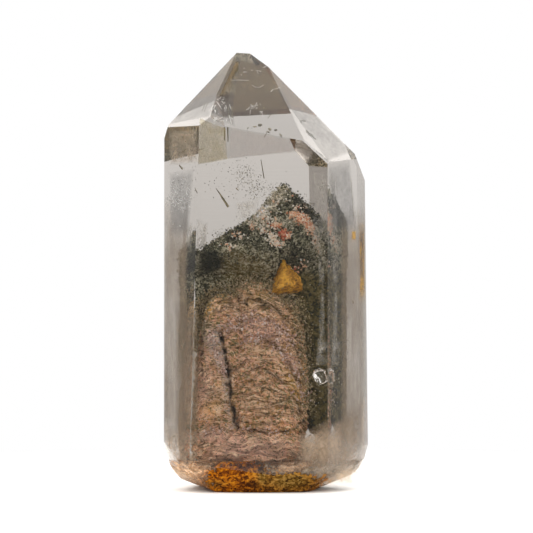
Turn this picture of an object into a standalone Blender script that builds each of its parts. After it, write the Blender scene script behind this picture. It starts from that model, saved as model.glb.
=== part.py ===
"""Chlorite quartz crystal: a clear six-sided point standing on its broken base.

Inside the clear quartz stand an older, smaller crystal outlined in green chlorite,
a pink-brown mound of fine layers, a small ochre crystal and a rusty crust that closes
the hollow at the base. The front prism face looks along -Y and the point is up +Z.
"""
import math
from typing import NamedTuple

import bmesh
import bpy
from mathutils import Matrix, Vector, noise

MM = 0.001

# Whole crystal
HEIGHT = 75.0 * MM
HALF_DEPTH = 13.1 * MM
GAP = 0.3 * MM
BLOCK = 200.0 * MM
WELD = 0.0001 * MM

# Corners that the faces of the point run through
TIP = Vector((-5.25 * MM, -0.35 * MM, HEIGHT))
CREST = Vector((0.27 * MM, -1.8 * MM, 72.42 * MM))
CHEEK = Vector((6.35 * MM, -HALF_DEPTH, 59.2 * MM))
STEP_FOOT = Vector((-7.05 * MM, -HALF_DEPTH, 61.7 * MM))
RIGHT_SHOULDER = Vector((14.95 * MM, -3.8 * MM, 57.6 * MM))
LEFT_SHOULDER = Vector((-17.25 * MM, -6.7 * MM, 60.6 * MM))
CHEEK_BEVEL = 0.1 * MM
STEP_ROOT = 0.4 * MM

# Green phantom: an upper cap and a curtain behind the mound
PHANTOM_TIP = Vector((2.9 * MM, 1.2 * MM, 52.4 * MM))
CAP_BOTTOM = 38.5 * MM
CURTAIN_TOP = 41.0 * MM
CURTAIN_HEM = Vector((-12.2 * MM, 0.0, 25.0 * MM))
CURTAIN_HEM_TILT = -56.0
CLUSTER_COUNT = 24
CLUSTER_RADIUS = 1.1 * MM
CLUSTER_RISE = 1.0 * MM
CLUSTER_DROP = 2.2 * MM
CLUSTER_RING = 1.9 * MM
CLUSTER_SWAY = 0.36
CLUSTER_SHAPE = (1.0, 0.8, 0.62, 1.0)
TIP_FACES = 6

# Layered mound
MOUND_CENTRE = Vector((-2.4 * MM, -3.6 * MM, 0.0))
MOUND_BOTTOM = 4.0 * MM
MOUND_TOP = 35.8 * MM
MOUND_LEAN = Vector((0.4 * MM, 0.7 * MM, 0.0))
MOUND_HALF_WIDTH = 9.9 * MM
MOUND_HALF_DEPTH = 5.6 * MM
MOUND_SKEW = 0.3
MOUND_FOOT = 0.88
MOUND_SWELL = 0.16
MOUND_SHOULDER = 5.0
MOUND_ROUND = 0.6
MOUND_LOBES = ((2, 0.05, 0.7, 0.0), (3, 0.05, 0.0, -5.0), (5, 0.03, 1.9, 2.0))
MOUND_ROWS = 34
MOUND_SEGMENTS = 36
LAYER_PITCH = 2.4 * MM
LAYER_LEDGE = 0.4 * MM
LAYER_DOME = 9.0
SKIN = 1.2 * MM
POLE = 0.001

# Ochre crystal
OCHRE_CENTRE = Vector((3.3 * MM, -4.4 * MM, 36.0 * MM))
OCHRE_TIP = OCHRE_CENTRE + Vector((-0.6 * MM, 0.4 * MM, 3.0 * MM))

# Rusty crust in the mouth of the hollow
CRUST_CENTRE = Vector((-1.0 * MM, -0.6 * MM, 0.0))
CRUST_HALF_WIDTH = 6.2 * MM
CRUST_HALF_DEPTH = 5.0 * MM
CRUST_HEIGHT = MOUND_BOTTOM - GAP
CRUST_SEGMENTS = 28
CRUST_ROWS = 8
CRUST_FLAT = 1.25
CRUST_RIM = ((3, 0.07, 0.4), (5, 0.05, 1.9))
CRUST_DOME = 0.9 * MM
CRUST_DIP = 0.25 * MM
CRUST_LUMP = 2.0 * MM
CRUST_DEPTH = 4.0


class Facet(NamedTuple):
    """A flat face: compass turn of its outward normal from the front, its upward tilt, a point on it."""

    azimuth: float
    tilt: float
    through: Vector


def outward(azimuth, tilt):
    """Unit normal for a turn from the front (positive to the right) and a tilt above level, in degrees."""
    turn = math.radians(azimuth)
    lift = math.radians(tilt)
    return Vector((math.sin(turn) * math.cos(lift), -math.cos(turn) * math.cos(lift), math.sin(lift)))


def wall(azimuth, reach, lean=0.0):
    """A face that stands at a reach from the vertical axis where it meets the base plane."""
    level = outward(azimuth, 0.0)
    return Facet(azimuth, lean, level * reach)


# The six prism faces, slightly tapered, with the reach of each at the base
PRISM = {
    "front": wall(0.0, HALF_DEPTH),
    "front_left": wall(-50.5, 18.52 * MM, 1.3),
    "front_right": wall(58.5, 15.52 * MM, 0.0),
    "back": wall(180.0, HALF_DEPTH),
    "back_left": wall(-103.5, 15.18 * MM, -0.48),
    "back_right": wall(121.5, 14.2 * MM, 1.2),
}

# The faces of the point, its split back face and the small polished faces at its shoulders
POINT = {
    "left": Facet(-50.3, 44.4, TIP),
    "front": Facet(9.8, 42.7, TIP),
    "right": Facet(54.0, 41.2, CREST),
    "back": Facet(-174.9, 36.8, TIP),
    "back_split": Facet(-172.0, 36.9, TIP),
    "back_right": Facet(118.9, 38.5, CREST),
    "back_left": Facet(-105.0, 37.4, TIP),
    "right_shoulder": Facet(88.0, 21.0, RIGHT_SHOULDER),
    "left_shoulder": Facet(-85.0, 16.0, LEFT_SHOULDER),
    "cheek": Facet(22.9, 22.8, CHEEK - outward(22.9, 22.8) * CHEEK_BEVEL),
}

# Worn faces round the broken base: turn, reach at the base plane, downward tilt
BASE_WEAR = (
    wall(-72.0, 15.2 * MM, -24.0),
    wall(-100.0, 13.0 * MM, -30.0),
    wall(-124.0, 14.0 * MM, -28.0),
    wall(-62.0, 12.2 * MM, -50.0),
    wall(-132.0, 12.0 * MM, -50.0),
    wall(-80.0, 9.8 * MM, -71.0),
    wall(70.0, 13.6 * MM, -29.0),
    wall(120.0, 10.6 * MM, -26.0),
    wall(58.0, 10.2 * MM, -51.0),
    wall(112.0, 9.3 * MM, -52.0),
    wall(85.0, 7.8 * MM, -70.0),
    wall(-6.0, 10.4 * MM, -38.0),
    wall(9.0, 10.1 * MM, -44.0),
    wall(172.0, 10.1 * MM, -40.0),
    wall(-160.0, 10.2 * MM, -48.0),
)

# The older crystal inside, smaller and turned like the outer one
CAP = (
    Facet(-66.0, 47.0, PHANTOM_TIP),
    Facet(-4.0, 38.0, PHANTOM_TIP),
    Facet(60.0, 44.0, PHANTOM_TIP),
    Facet(118.0, 40.0, PHANTOM_TIP),
    Facet(178.0, 40.0, PHANTOM_TIP),
    Facet(-124.0, 40.0, PHANTOM_TIP),
    wall(0.0, 6.6 * MM),
    wall(-54.0, 12.2 * MM, 1.0),
    wall(58.0, 9.6 * MM, 0.5),
    wall(122.0, 8.4 * MM),
    wall(180.0, 7.6 * MM),
    wall(-118.0, 9.0 * MM),
    Facet(0.0, -90.0, Vector((0.0, 0.0, CAP_BOTTOM))),
)
CURTAIN = (
    wall(0.0, -0.6 * MM),
    wall(-54.0, 10.4 * MM, 1.0),
    wall(58.0, 7.4 * MM, 0.5),
    wall(122.0, 8.2 * MM),
    wall(180.0, 7.3 * MM),
    wall(-118.0, 8.8 * MM),
    Facet(0.0, 90.0, Vector((0.0, 0.0, CURTAIN_TOP))),
    Facet(-90.0, CURTAIN_HEM_TILT, CURTAIN_HEM),
)
OCHRE = (
    Facet(-72.0, 22.0, OCHRE_TIP),
    Facet(-12.0, 34.0, OCHRE_TIP),
    Facet(52.0, 40.0, OCHRE_TIP),
    Facet(125.0, 36.0, OCHRE_TIP),
    Facet(-150.0, 30.0, OCHRE_TIP),
    Facet(0.0, 0.0, OCHRE_CENTRE + Vector((0.0, -2.1 * MM, 0.0))),
    Facet(90.0, 8.0, OCHRE_CENTRE + Vector((3.1 * MM, 0.0, 0.0))),
    Facet(180.0, 0.0, OCHRE_CENTRE + Vector((0.0, 2.3 * MM, 0.0))),
    Facet(-80.0, -6.0, OCHRE_CENTRE + Vector((-2.8 * MM, 0.0, 0.0))),
    Facet(20.0, -62.0, OCHRE_CENTRE + Vector((0.0, 0.0, -2.3 * MM))),
)


def clear_scene():
    """Remove every object, so that only this crystal is in the file."""
    for old in list(bpy.data.objects):
        bpy.data.objects.remove(old, do_unlink=True)


def new_collection(name):
    """Make a collection under the scene's own."""
    group = bpy.data.collections.new(name)
    bpy.context.scene.collection.children.link(group)
    return group


def principled(name, colour, roughness, transmission=0.0):
    """A plain Principled material."""
    material = bpy.data.materials.new(name)
    material.use_nodes = True
    shader = material.node_tree.nodes["Principled BSDF"]
    shader.inputs["Base Color"].default_value = (*colour, 1.0)
    shader.inputs["Roughness"].default_value = roughness
    shader.inputs["Metallic"].default_value = 0.0
    shader.inputs["Transmission Weight"].default_value = transmission
    shader.inputs["IOR"].default_value = 1.544
    return material


def object_from_bmesh(name, bm, group, material=None):
    """Close a bmesh into a named object in a collection."""
    bmesh.ops.recalc_face_normals(bm, faces=bm.faces)
    mesh = bpy.data.meshes.new(name)
    bm.to_mesh(mesh)
    bm.free()
    part = bpy.data.objects.new(name, mesh)
    group.objects.link(part)
    if material is not None:
        mesh.materials.append(material)
    return part


def cutter(name, bm, group):
    """An object that only cuts others."""
    part = object_from_bmesh(name, bm, group)
    part.hide_render = True
    part.display_type = "WIRE"
    return part


def cut_block(facets, grow=0.0):
    """A block cut down to the space behind every facet, each moved out by the grow distance."""
    bm = bmesh.new()
    bmesh.ops.create_cube(bm, size=BLOCK)
    for facet in facets:
        normal = outward(facet.azimuth, facet.tilt)
        geometry = bm.verts[:] + bm.edges[:] + bm.faces[:]
        bmesh.ops.bisect_plane(bm, geom=geometry, dist=WELD, plane_co=facet.through + normal * grow,
                               plane_no=normal, clear_outer=True)
        rim = [edge for edge in bm.edges if edge.is_boundary]
        bmesh.ops.holes_fill(bm, edges=rim)
    bmesh.ops.remove_doubles(bm, verts=bm.verts, dist=WELD)
    return bm


def combine(part, tool, operation):
    """Add an exact Boolean of one object with another."""
    step = part.modifiers.new(tool.name, "BOOLEAN")
    step.operation = operation
    step.object = tool
    step.solver = "EXACT"


def quartz_facets():
    """Every flat face of the clear crystal, from the point down to the flat it stands on."""
    ground = Facet(0.0, -90.0, Vector((0.0, 0.0, 0.0)))
    return (*PRISM.values(), *POINT.values(), *BASE_WEAR, ground)


def growth_step():
    """The thin raised step low on the left of the front face of the point."""
    front = POINT["front"]
    root = front.through - outward(front.azimuth, front.tilt) * STEP_ROOT
    underside = Facet(front.azimuth - 180.0, -front.tilt, root)
    return cut_block((PRISM["front"], POINT["left"], Facet(35.0, 41.0, STEP_FOOT), underside))


def under_skin(place, skin):
    """Pull a point in until clear quartz of the skin's thickness covers it on every side."""
    for facet in (*PRISM.values(), *BASE_WEAR):
        normal = outward(facet.azimuth, facet.tilt)
        excess = (place - facet.through).dot(normal) + skin
        if excess > 0.0:
            level = Vector((normal.x, normal.y, 0.0))
            place = place - level * (excess / level.length_squared)
    return place


def mound_profile(level, turn):
    """How far out the mound's side is, as a share of its half width, at a level from 0 to 1 and a turn."""
    profile = MOUND_FOOT + MOUND_SWELL * math.sin(math.pi * min(1.0, level + 0.1))
    profile *= max(0.0, 1.0 - level ** MOUND_SHOULDER) ** MOUND_ROUND
    for folds, size, start, twist in MOUND_LOBES:
        profile *= 1.0 + size * math.sin(folds * turn + start + twist * level)
    return profile


def mound_point(direction, grow):
    """Where a point of a unit sphere goes on the layered mound, moved out by the grow distance."""
    polar = math.acos(max(-1.0, min(1.0, direction.z)))
    turn = math.atan2(direction.y, direction.x)
    level = max(0.0, 1.0 - polar / math.pi * MOUND_ROWS / (MOUND_ROWS - 1))
    height = MOUND_BOTTOM + (MOUND_TOP - MOUND_BOTTOM) * level
    at_pole = polar > math.pi - POLE or polar < POLE
    profile = 0.0 if at_pole else mound_profile(level, turn)
    across = MOUND_HALF_WIDTH * profile * math.cos(turn)
    along = MOUND_HALF_DEPTH * profile * math.sin(turn)
    phase = (height + LAYER_DOME * across * across) / LAYER_PITCH
    ledge = LAYER_LEDGE * (phase - math.floor(phase) - 0.5) * min(1.0, 4.0 * profile)
    out = Vector((across, along, 0.0))
    if out.length > 0.0:
        out += out.normalized() * (grow + ledge)
    out.y += MOUND_SKEW * out.x
    height += grow * (2.0 * level - 1.0)
    return under_skin(MOUND_CENTRE + out + MOUND_LEAN * level + Vector((0.0, 0.0, height)), SKIN - grow)


def mound_mesh(grow=0.0):
    """The layered mound as a closed mesh."""
    bm = bmesh.new()
    bmesh.ops.create_uvsphere(bm, u_segments=MOUND_SEGMENTS, v_segments=MOUND_ROWS, radius=1.0)
    for vert in bm.verts:
        vert.co = mound_point(vert.co.normalized(), grow)
    return bm


def crust_mesh(grow=0.0):
    """The crust: a lumpy plug with a flat underside level with the quartz base."""
    bm = bmesh.new()
    bmesh.ops.create_uvsphere(bm, u_segments=CRUST_SEGMENTS, v_segments=CRUST_ROWS, radius=1.0)
    for vert in bm.verts:
        direction = vert.co.normalized()
        turn = math.atan2(direction.y, direction.x)
        flat = math.hypot(direction.x, direction.y)
        rim = 1.0 + sum(size * math.sin(folds * turn + start) for folds, size, start in CRUST_RIM)
        spread = min(1.0, flat * CRUST_FLAT) * rim
        place = Vector((0.0, 0.0, 0.0))
        if flat > POLE:
            place = Vector((CRUST_HALF_WIDTH * spread * direction.x / flat,
                            CRUST_HALF_DEPTH * spread * direction.y / flat, 0.0))
            place += place.normalized() * grow
        if direction.z > 0.0:
            dip = CRUST_DIP * noise.noise(place / CRUST_LUMP)
            place.z = CRUST_HEIGHT + grow - CRUST_DOME * flat ** 3 + min(0.0, dip)
        else:
            place.z = -grow * CRUST_DEPTH
        vert.co = CRUST_CENTRE + place
    return bm


def cluster_places(facets, count):
    """Spots for chlorite clusters on the sloping faces round the phantom's tip."""
    spots = []
    for index in range(count):
        facet = facets[index % TIP_FACES]
        normal = outward(facet.azimuth, facet.tilt)
        across = normal.cross(Vector((0.0, 0.0, 1.0))).normalized()
        down = across.cross(normal).normalized()
        if down.z > 0.0:
            down.negate()
        ring = index // TIP_FACES
        drop = CLUSTER_DROP + CLUSTER_RING * ring
        sway = CLUSTER_SWAY * math.sin(2.4 * index + 0.8) * drop
        spots.append((facet.through + down * drop + across * sway, normal))
    return spots


def add_cluster(bm, centre, normal, radius):
    """One lumpy cluster of chlorite plates, as a low stone set into the face."""
    lump = bmesh.ops.create_icosphere(bm, subdivisions=1, radius=radius)["verts"]
    turn = Vector((0.0, 0.0, 1.0)).rotation_difference(normal).to_matrix().to_4x4()
    shape = Matrix.Translation(centre) @ turn @ Matrix.Diagonal(CLUSTER_SHAPE)
    bmesh.ops.transform(bm, matrix=shape, verts=lump)


def build():
    """Make the crystal's pieces."""
    clear_scene()
    parts = new_collection("chlorite_quartz_crystal")
    cutters = new_collection("cutters")

    clear = principled("clear_quartz", (0.86, 0.85, 0.82), 0.03, 1.0)
    green = principled("chlorite", (0.07, 0.085, 0.05), 0.75)
    pink = principled("layered_clay", (0.33, 0.2, 0.155), 0.85)
    ochre = principled("ochre", (0.5, 0.27, 0.06), 0.7)
    rust = principled("limonite", (0.42, 0.17, 0.03), 0.75)

    quartz = object_from_bmesh("quartz_point", cut_block(quartz_facets()), parts, clear)
    combine(quartz, cutter("growth_step", growth_step(), cutters), "UNION")

    cap_space = cutter("cap_space", cut_block(CAP, CLUSTER_RISE + GAP), cutters)
    curtain_space = cutter("curtain_space", cut_block(CURTAIN, GAP), cutters)
    mound_space = cutter("mound_space", mound_mesh(GAP), cutters)
    ochre_space = cutter("ochre_space", cut_block(OCHRE, GAP), cutters)
    crust_space = cutter("crust_space", crust_mesh(GAP), cutters)
    for space in (cap_space, curtain_space, mound_space, ochre_space, crust_space):
        combine(quartz, space, "DIFFERENCE")

    phantom = object_from_bmesh("chlorite_phantom", cut_block(CAP), parts, green)
    combine(phantom, cutter("curtain", cut_block(CURTAIN), cutters), "UNION")
    for index, (spot, normal) in enumerate(cluster_places(CAP, CLUSTER_COUNT)):
        lump = bmesh.new()
        add_cluster(lump, spot, normal, CLUSTER_RADIUS * (0.85 + 0.2 * math.sin(1.7 * index)))
        combine(phantom, cutter("cluster_%02d" % index, lump, cutters), "UNION")
    combine(phantom, mound_space, "DIFFERENCE")
    combine(phantom, ochre_space, "DIFFERENCE")

    object_from_bmesh("layered_mound", mound_mesh(), parts, pink)
    ochre_part = object_from_bmesh("ochre_crystal", cut_block(OCHRE), parts, ochre)
    combine(ochre_part, mound_space, "DIFFERENCE")
    object_from_bmesh("rust_crust", crust_mesh(), parts, rust)


build()
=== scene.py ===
"""Looks of the chlorite quartz crystal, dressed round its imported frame.

Lengths are in metres where nothing else is said, +Z is up and the front prism face looks along -Y.
"""
import logging
import math
from dataclasses import dataclass
from enum import Enum
from typing import Callable, Optional, Sequence, Union

import bmesh
import bpy
import numpy as np
from mathutils import Matrix, Vector, noise
from mathutils.bvhtree import BVHTree


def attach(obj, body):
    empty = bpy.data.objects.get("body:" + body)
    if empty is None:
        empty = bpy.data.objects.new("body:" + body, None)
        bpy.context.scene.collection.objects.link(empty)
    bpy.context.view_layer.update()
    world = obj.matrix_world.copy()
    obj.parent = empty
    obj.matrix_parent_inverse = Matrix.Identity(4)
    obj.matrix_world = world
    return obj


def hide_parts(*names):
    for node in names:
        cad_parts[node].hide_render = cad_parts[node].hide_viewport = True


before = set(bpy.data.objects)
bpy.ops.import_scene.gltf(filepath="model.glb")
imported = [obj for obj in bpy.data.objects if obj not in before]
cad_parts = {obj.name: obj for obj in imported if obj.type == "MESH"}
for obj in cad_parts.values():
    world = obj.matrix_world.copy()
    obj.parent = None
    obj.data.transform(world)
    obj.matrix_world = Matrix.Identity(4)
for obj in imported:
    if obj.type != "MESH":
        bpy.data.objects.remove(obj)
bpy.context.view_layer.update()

log = logging.getLogger("chlorite_quartz")

MM = 0.001
BODY = "root"
BLOCK = 200 * MM
WELD = 0.0001 * MM
FORWARD = Vector((0, 1, 0))
UP = Vector((0, 0, 1))
Triple = tuple[float, float, float]
Colour = Triple
BMesh = bmesh.types.BMesh
Mesh = bpy.types.Mesh
Material = bpy.types.Material
Chance = np.random.Generator
Socket = bpy.types.NodeSocket
Value = Union[float, Socket]
Pixel = tuple[float, float]
Stops = tuple[tuple[float, Colour], ...]


def at_mm(across: float, along: float, up: float) -> Vector:
    """Give a place from its coordinates in millimetres."""
    return Vector((across * MM, along * MM, up * MM))


# The photograph's frame: its middle, the height it looks at and a pixel's size at the crystal's axis
PHOTO_WIDTH = 533
PHOTO_MIDDLE_X = 267
PHOTO_MIDDLE_Y = 266.5
PIXEL = 0.1724 * MM
EYE_HEIGHT = 38.19 * MM
EYE_DISTANCE = 500 * MM
EYE_ACROSS = -0.09 * MM

# The clear crystal's size and the corners that its faces run through
QUARTZ_IOR = 1.544
HALF_DEPTH = 13.1 * MM
TIP = at_mm(-5.25, -0.35, 75)
CREST = at_mm(0.27, -1.8, 72.42)
CHEEK = Vector((6.35 * MM, -HALF_DEPTH, 59.2 * MM))
STEP_FOOT = Vector((-7.05 * MM, -HALF_DEPTH, 61.7 * MM))
RIGHT_SHOULDER = at_mm(14.95, -3.8, 57.6)
LEFT_SHOULDER = at_mm(-17.25, -6.7, 60.6)
CHEEK_BEVEL = 0.1 * MM
STEP_ROOT = 0.4 * MM
PHANTOM_TIP = at_mm(2.9, 1.2, 52.4)
OCHRE_CENTRE = at_mm(3.3, -4.4, 36)
OCHRE_TIP = OCHRE_CENTRE + at_mm(-0.7, 0.2, 3.9)


@dataclass(frozen=True)
class Facet:
    """A flat face: its outward normal's turn from the front, its tilt above level, and a point on it."""

    azimuth: float
    tilt: float
    through: Vector


def outward(azimuth: float, tilt: float) -> Vector:
    """Find a face's outward direction.

    Args:
        azimuth: turn from the front in degrees, positive to the right.
        tilt: tilt above level in degrees.

    Returns:
        The unit normal.
    """
    turn = math.radians(azimuth)
    lift = math.radians(tilt)
    return Vector((math.sin(turn) * math.cos(lift), -math.cos(turn) * math.cos(lift), math.sin(lift)))


def wall(azimuth: float, reach: float, lean: float = 0) -> Facet:
    """Give a face that stands at a reach from the vertical axis on the base plane.

    Args:
        azimuth: turn from the front in degrees.
        reach: distance from the axis.
        lean: tilt of the normal above level in degrees.

    Returns:
        The face.
    """
    return Facet(azimuth, lean, outward(azimuth, 0) * reach)


def seen_at(pixel_x: float, pixel_y: float, depth: float, inside: bool = True) -> Vector:
    """Find the place that shows at a pixel of the photograph.

    Args:
        pixel_x: pixels from the left.
        pixel_y: pixels from the top.
        depth: the place's y.
        inside: whether it is seen through the front prism face, which brings it nearer.

    Returns:
        The place.
    """
    shown = -HALF_DEPTH + (depth + HALF_DEPTH) / QUARTZ_IOR if inside else depth
    spread = 1 + shown / EYE_DISTANCE
    across = (pixel_x - PHOTO_MIDDLE_X) * PIXEL * spread
    height = EYE_HEIGHT + (PHOTO_MIDDLE_Y - pixel_y) * PIXEL * spread
    return Vector((across, depth, height))


def under_face(facet: Facet, pixel_x: float, pixel_y: float, under: float) -> Vector:
    """Find the place just under a face of the crystal that shows at a pixel of the photograph.

    Args:
        facet: the face.
        pixel_x: pixels from the left.
        pixel_y: pixels from the top.
        under: how deep below the face the place lies.

    Returns:
        The place.
    """
    eye = Vector((EYE_ACROSS, -EYE_DISTANCE, EYE_HEIGHT))
    aim = Vector(((pixel_x - PHOTO_MIDDLE_X) * PIXEL, 0, EYE_HEIGHT + (PHOTO_MIDDLE_Y - pixel_y) * PIXEL))
    normal = outward(facet.azimuth, facet.tilt)
    way = aim - eye
    share = (facet.through - eye).dot(normal) / way.dot(normal)
    return eye + way * share - normal * under


GROUND = Facet(0, -90, Vector((0, 0, 0)))
PRISM = {
    "front": wall(0, HALF_DEPTH),
    "front_left": wall(-50.5, 18.52 * MM, 1.3),
    "front_right": wall(58.5, 15.52 * MM),
    "back": wall(180, HALF_DEPTH),
    "back_left": wall(-103.5, 15.18 * MM, -0.48),
    "back_right": wall(121.5, 14.2 * MM, 1.2),
}
POINT = {
    "left": Facet(-50.3, 44.4, TIP),
    "front": Facet(9.8, 42.7, TIP),
    "right": Facet(54, 41.2, CREST),
    "back": Facet(-174.9, 36.8, TIP),
    "back_split": Facet(-172, 36.9, TIP),
    "back_right": Facet(118.9, 38.5, CREST),
    "back_left": Facet(-105, 37.4, TIP),
    "right_shoulder": Facet(88, 21, RIGHT_SHOULDER),
    "left_shoulder": Facet(-85, 16, LEFT_SHOULDER),
    "cheek": Facet(22.9, 22.8, CHEEK - outward(22.9, 22.8) * CHEEK_BEVEL),
}
BASE_WEAR = (
    wall(-72, 15.2 * MM, -24),
    wall(-100, 13 * MM, -30),
    wall(-124, 14 * MM, -28),
    wall(-62, 12.2 * MM, -50),
    wall(-132, 12 * MM, -50),
    wall(-80, 9.8 * MM, -71),
    wall(70, 13.6 * MM, -29),
    wall(120, 10.6 * MM, -26),
    wall(58, 10.2 * MM, -51),
    wall(112, 9.3 * MM, -52),
    wall(85, 7.8 * MM, -70),
    wall(-6, 10.4 * MM, -38),
    wall(9, 10.1 * MM, -44),
    wall(172, 10.1 * MM, -40),
    wall(-160, 10.2 * MM, -48),
)
CAP = (
    Facet(-66, 42, PHANTOM_TIP),
    Facet(-4, 38, PHANTOM_TIP),
    Facet(60, 44, PHANTOM_TIP),
    Facet(118, 40, PHANTOM_TIP),
    Facet(178, 40, PHANTOM_TIP),
    Facet(-124, 36, PHANTOM_TIP),
    wall(0, 6.6 * MM),
    wall(-54, 13.2 * MM, 1),
    wall(58, 9.6 * MM, 0.5),
    wall(122, 8.4 * MM),
    wall(180, 7.6 * MM),
    wall(-113, 10.1 * MM),
    Facet(0, -45, at_mm(0, -6.6, 41.5)),
)
SHOULDER = (
    Facet(-88, 57.5, at_mm(-3.2, 0, 45.7)),
    Facet(-6, 50, at_mm(-3.2, -3.4, 45)),
    Facet(176, 46, at_mm(-3.2, 3.4, 45)),
    Facet(60, 44, PHANTOM_TIP),
    wall(0, 7.4 * MM),
    wall(-54, 13.3 * MM, 1),
    wall(90, 2 * MM),
    wall(180, 7.4 * MM),
    wall(-113, 10.2 * MM),
    wall(-135, 7.4 * MM),
    Facet(0, -45, at_mm(0, -7.4, 40.5)),
)
CURTAIN = (
    wall(0, 3.5 * MM),
    wall(-54, 13.2 * MM, 1),
    wall(58, 10.5 * MM, 0.5),
    wall(122, 8.2 * MM),
    wall(180, 7.3 * MM),
    wall(-113, 10.1 * MM),
    wall(-135, 6.4 * MM),
    Facet(0, 90, at_mm(0, 0, 41)),
    Facet(-90, -56, at_mm(-12.6, 0, 24.5)),
)
OCHRE = (
    Facet(-72, 18, OCHRE_TIP),
    Facet(-12, 30, OCHRE_TIP),
    Facet(62, 38, OCHRE_TIP),
    Facet(125, 36, OCHRE_TIP),
    Facet(-150, 30, OCHRE_TIP),
    Facet(0, 0, OCHRE_CENTRE + at_mm(0, -2.1, 0)),
    Facet(90, 8, OCHRE_CENTRE + at_mm(2.5, 0, 0)),
    Facet(180, 0, OCHRE_CENTRE + at_mm(0, 2.3, 0)),
    Facet(-80, -6, OCHRE_CENTRE + at_mm(-2.8, 0, 0)),
    Facet(20, -62, OCHRE_CENTRE + at_mm(0, 0, -2.3)),
)


def cut_block(facets: Sequence[Facet]) -> BMesh:
    """Cut a block down to the space behind every face.

    Args:
        facets: the faces.

    Returns:
        A closed bmesh.
    """
    bm = bmesh.new()
    bmesh.ops.create_cube(bm, size=BLOCK)
    for facet in facets:
        geometry = bm.verts[:] + bm.edges[:] + bm.faces[:]
        bmesh.ops.bisect_plane(bm, geom=geometry, dist=WELD, plane_co=facet.through,
                               plane_no=outward(facet.azimuth, facet.tilt), clear_outer=True)
        bmesh.ops.holes_fill(bm, edges=[edge for edge in bm.edges if edge.is_boundary])
    bmesh.ops.remove_doubles(bm, verts=bm.verts, dist=WELD)
    bmesh.ops.recalc_face_normals(bm, faces=bm.faces)
    return bm


def mesh_of(bm: BMesh, name: str) -> Mesh:
    """Turn a bmesh into a mesh and free it.

    Args:
        bm: the shape.
        name: the mesh's name.

    Returns:
        The mesh.
    """
    mesh = bpy.data.meshes.new(name)
    bm.to_mesh(mesh)
    bm.free()
    return mesh


def joined(parts: Sequence[BMesh], remesh: float = 0) -> Mesh:
    """Unite closed shapes, and remesh them evenly if asked.

    Args:
        parts: the shapes, which are freed.
        remesh: the voxel size, or 0 for an exact union.

    Returns:
        The united mesh.
    """
    pieces = [bpy.data.objects.new("part", mesh_of(part, "part")) for part in parts]
    for piece in pieces:
        bpy.context.scene.collection.objects.link(piece)
    for other in pieces[1:]:
        step = pieces[0].modifiers.new("union", "BOOLEAN")
        step.operation = "UNION"
        step.object = other
        step.solver = "EXACT"
    if remesh > 0:
        step = pieces[0].modifiers.new("remesh", "REMESH")
        step.mode = "VOXEL"
        step.voxel_size = remesh
    shown = pieces[0].evaluated_get(bpy.context.evaluated_depsgraph_get())
    mesh = bpy.data.meshes.new_from_object(shown)
    for piece in pieces:
        bpy.data.objects.remove(piece, do_unlink=True)
    return mesh


def place_piece(name: str, mesh: Mesh, material: Material,
                stands_for: Optional[str] = None, smooth: bool = False) -> bpy.types.Object:
    """Put a finished mesh in the scene as a named piece that rides on the crystal.

    Args:
        name: the piece's name.
        mesh: its mesh.
        material: its finish.
        stands_for: the CAD node that it replaces, if any.
        smooth: whether its faces are shaded smooth.

    Returns:
        The piece.
    """
    mesh.name = name
    mesh.materials.clear()
    mesh.materials.append(material)
    if smooth:
        mesh.shade_smooth()
    piece = bpy.data.objects.new(name, mesh)
    bpy.context.scene.collection.objects.link(piece)
    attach(piece, BODY)
    if stands_for is not None:
        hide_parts(stands_for)
    log.info("%s: %d faces", name, len(mesh.polygons))
    return piece


def read_points(mesh: Mesh, kind: str = "co") -> np.ndarray:
    """Read a mesh's points, or their normals, as rows.

    Args:
        mesh: the mesh.
        kind: co for the points, or normal.

    Returns:
        The rows.
    """
    found = np.empty(len(mesh.vertices) * 3)
    mesh.vertices.foreach_get(kind, found)
    return found.reshape(-1, 3)


def move_points(mesh: Mesh, places: np.ndarray) -> None:
    """Put a mesh's points at new places."""
    mesh.vertices.foreach_set("co", places.astype(np.float32).ravel())
    mesh.update()


def mark_points(mesh: Mesh, name: str, values: np.ndarray) -> None:
    """Store a number for each point, for a material to read."""
    layer = mesh.attributes.new(name, "FLOAT", "POINT")
    layer.data.foreach_set("value", values.astype(np.float32))


def mark_shares(mesh: Mesh, **shares: np.ndarray) -> None:
    """Store numbers from 0 to 1 for each point, under their names."""
    for name, values in shares.items():
        mark_points(mesh, name, np.clip(values, 0, 1))


def tree_of(mesh: Mesh) -> BVHTree:
    """Make the search tree of a mesh's surface.

    Args:
        mesh: the mesh.

    Returns:
        The tree.
    """
    bm = bmesh.new()
    bm.from_mesh(mesh)
    tree = BVHTree.FromBMesh(bm)
    bm.free()
    return tree


def ripple(places: np.ndarray, size: float, octaves: int, shift: float = 0) -> np.ndarray:
    """Read fractal noise at places.

    Args:
        places: the places, as rows.
        size: the largest lump's size.
        octaves: how many times the noise repeats at half the size.
        shift: where in the noise to read.

    Returns:
        Values from about -1 to 1.
    """
    offset = Vector((shift, shift * 0.7, -shift))
    return np.array([noise.fractal(Vector(place) / size + offset, 1, 2, octaves) for place in places])


def bell(values: np.ndarray, middle: float, half: float) -> np.ndarray:
    """A smooth hump that is 1 at its middle and fades over its half width."""
    return np.exp(-((values - middle) / half) ** 2)


def ease(values: np.ndarray, low: float, high: float) -> np.ndarray:
    """Go smoothly from 0 at the low value to 1 at the high one."""
    share = np.clip((values - low) / (high - low), 0, 1)
    return share * share * (3 - 2 * share)


@dataclass(frozen=True)
class Blot:
    """A soft spot on an inclusion, by where it shows in the photograph."""

    pixel_x: float
    pixel_y: float
    wide: float
    tall: float
    strength: float = 1
    turn: float = 0


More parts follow.
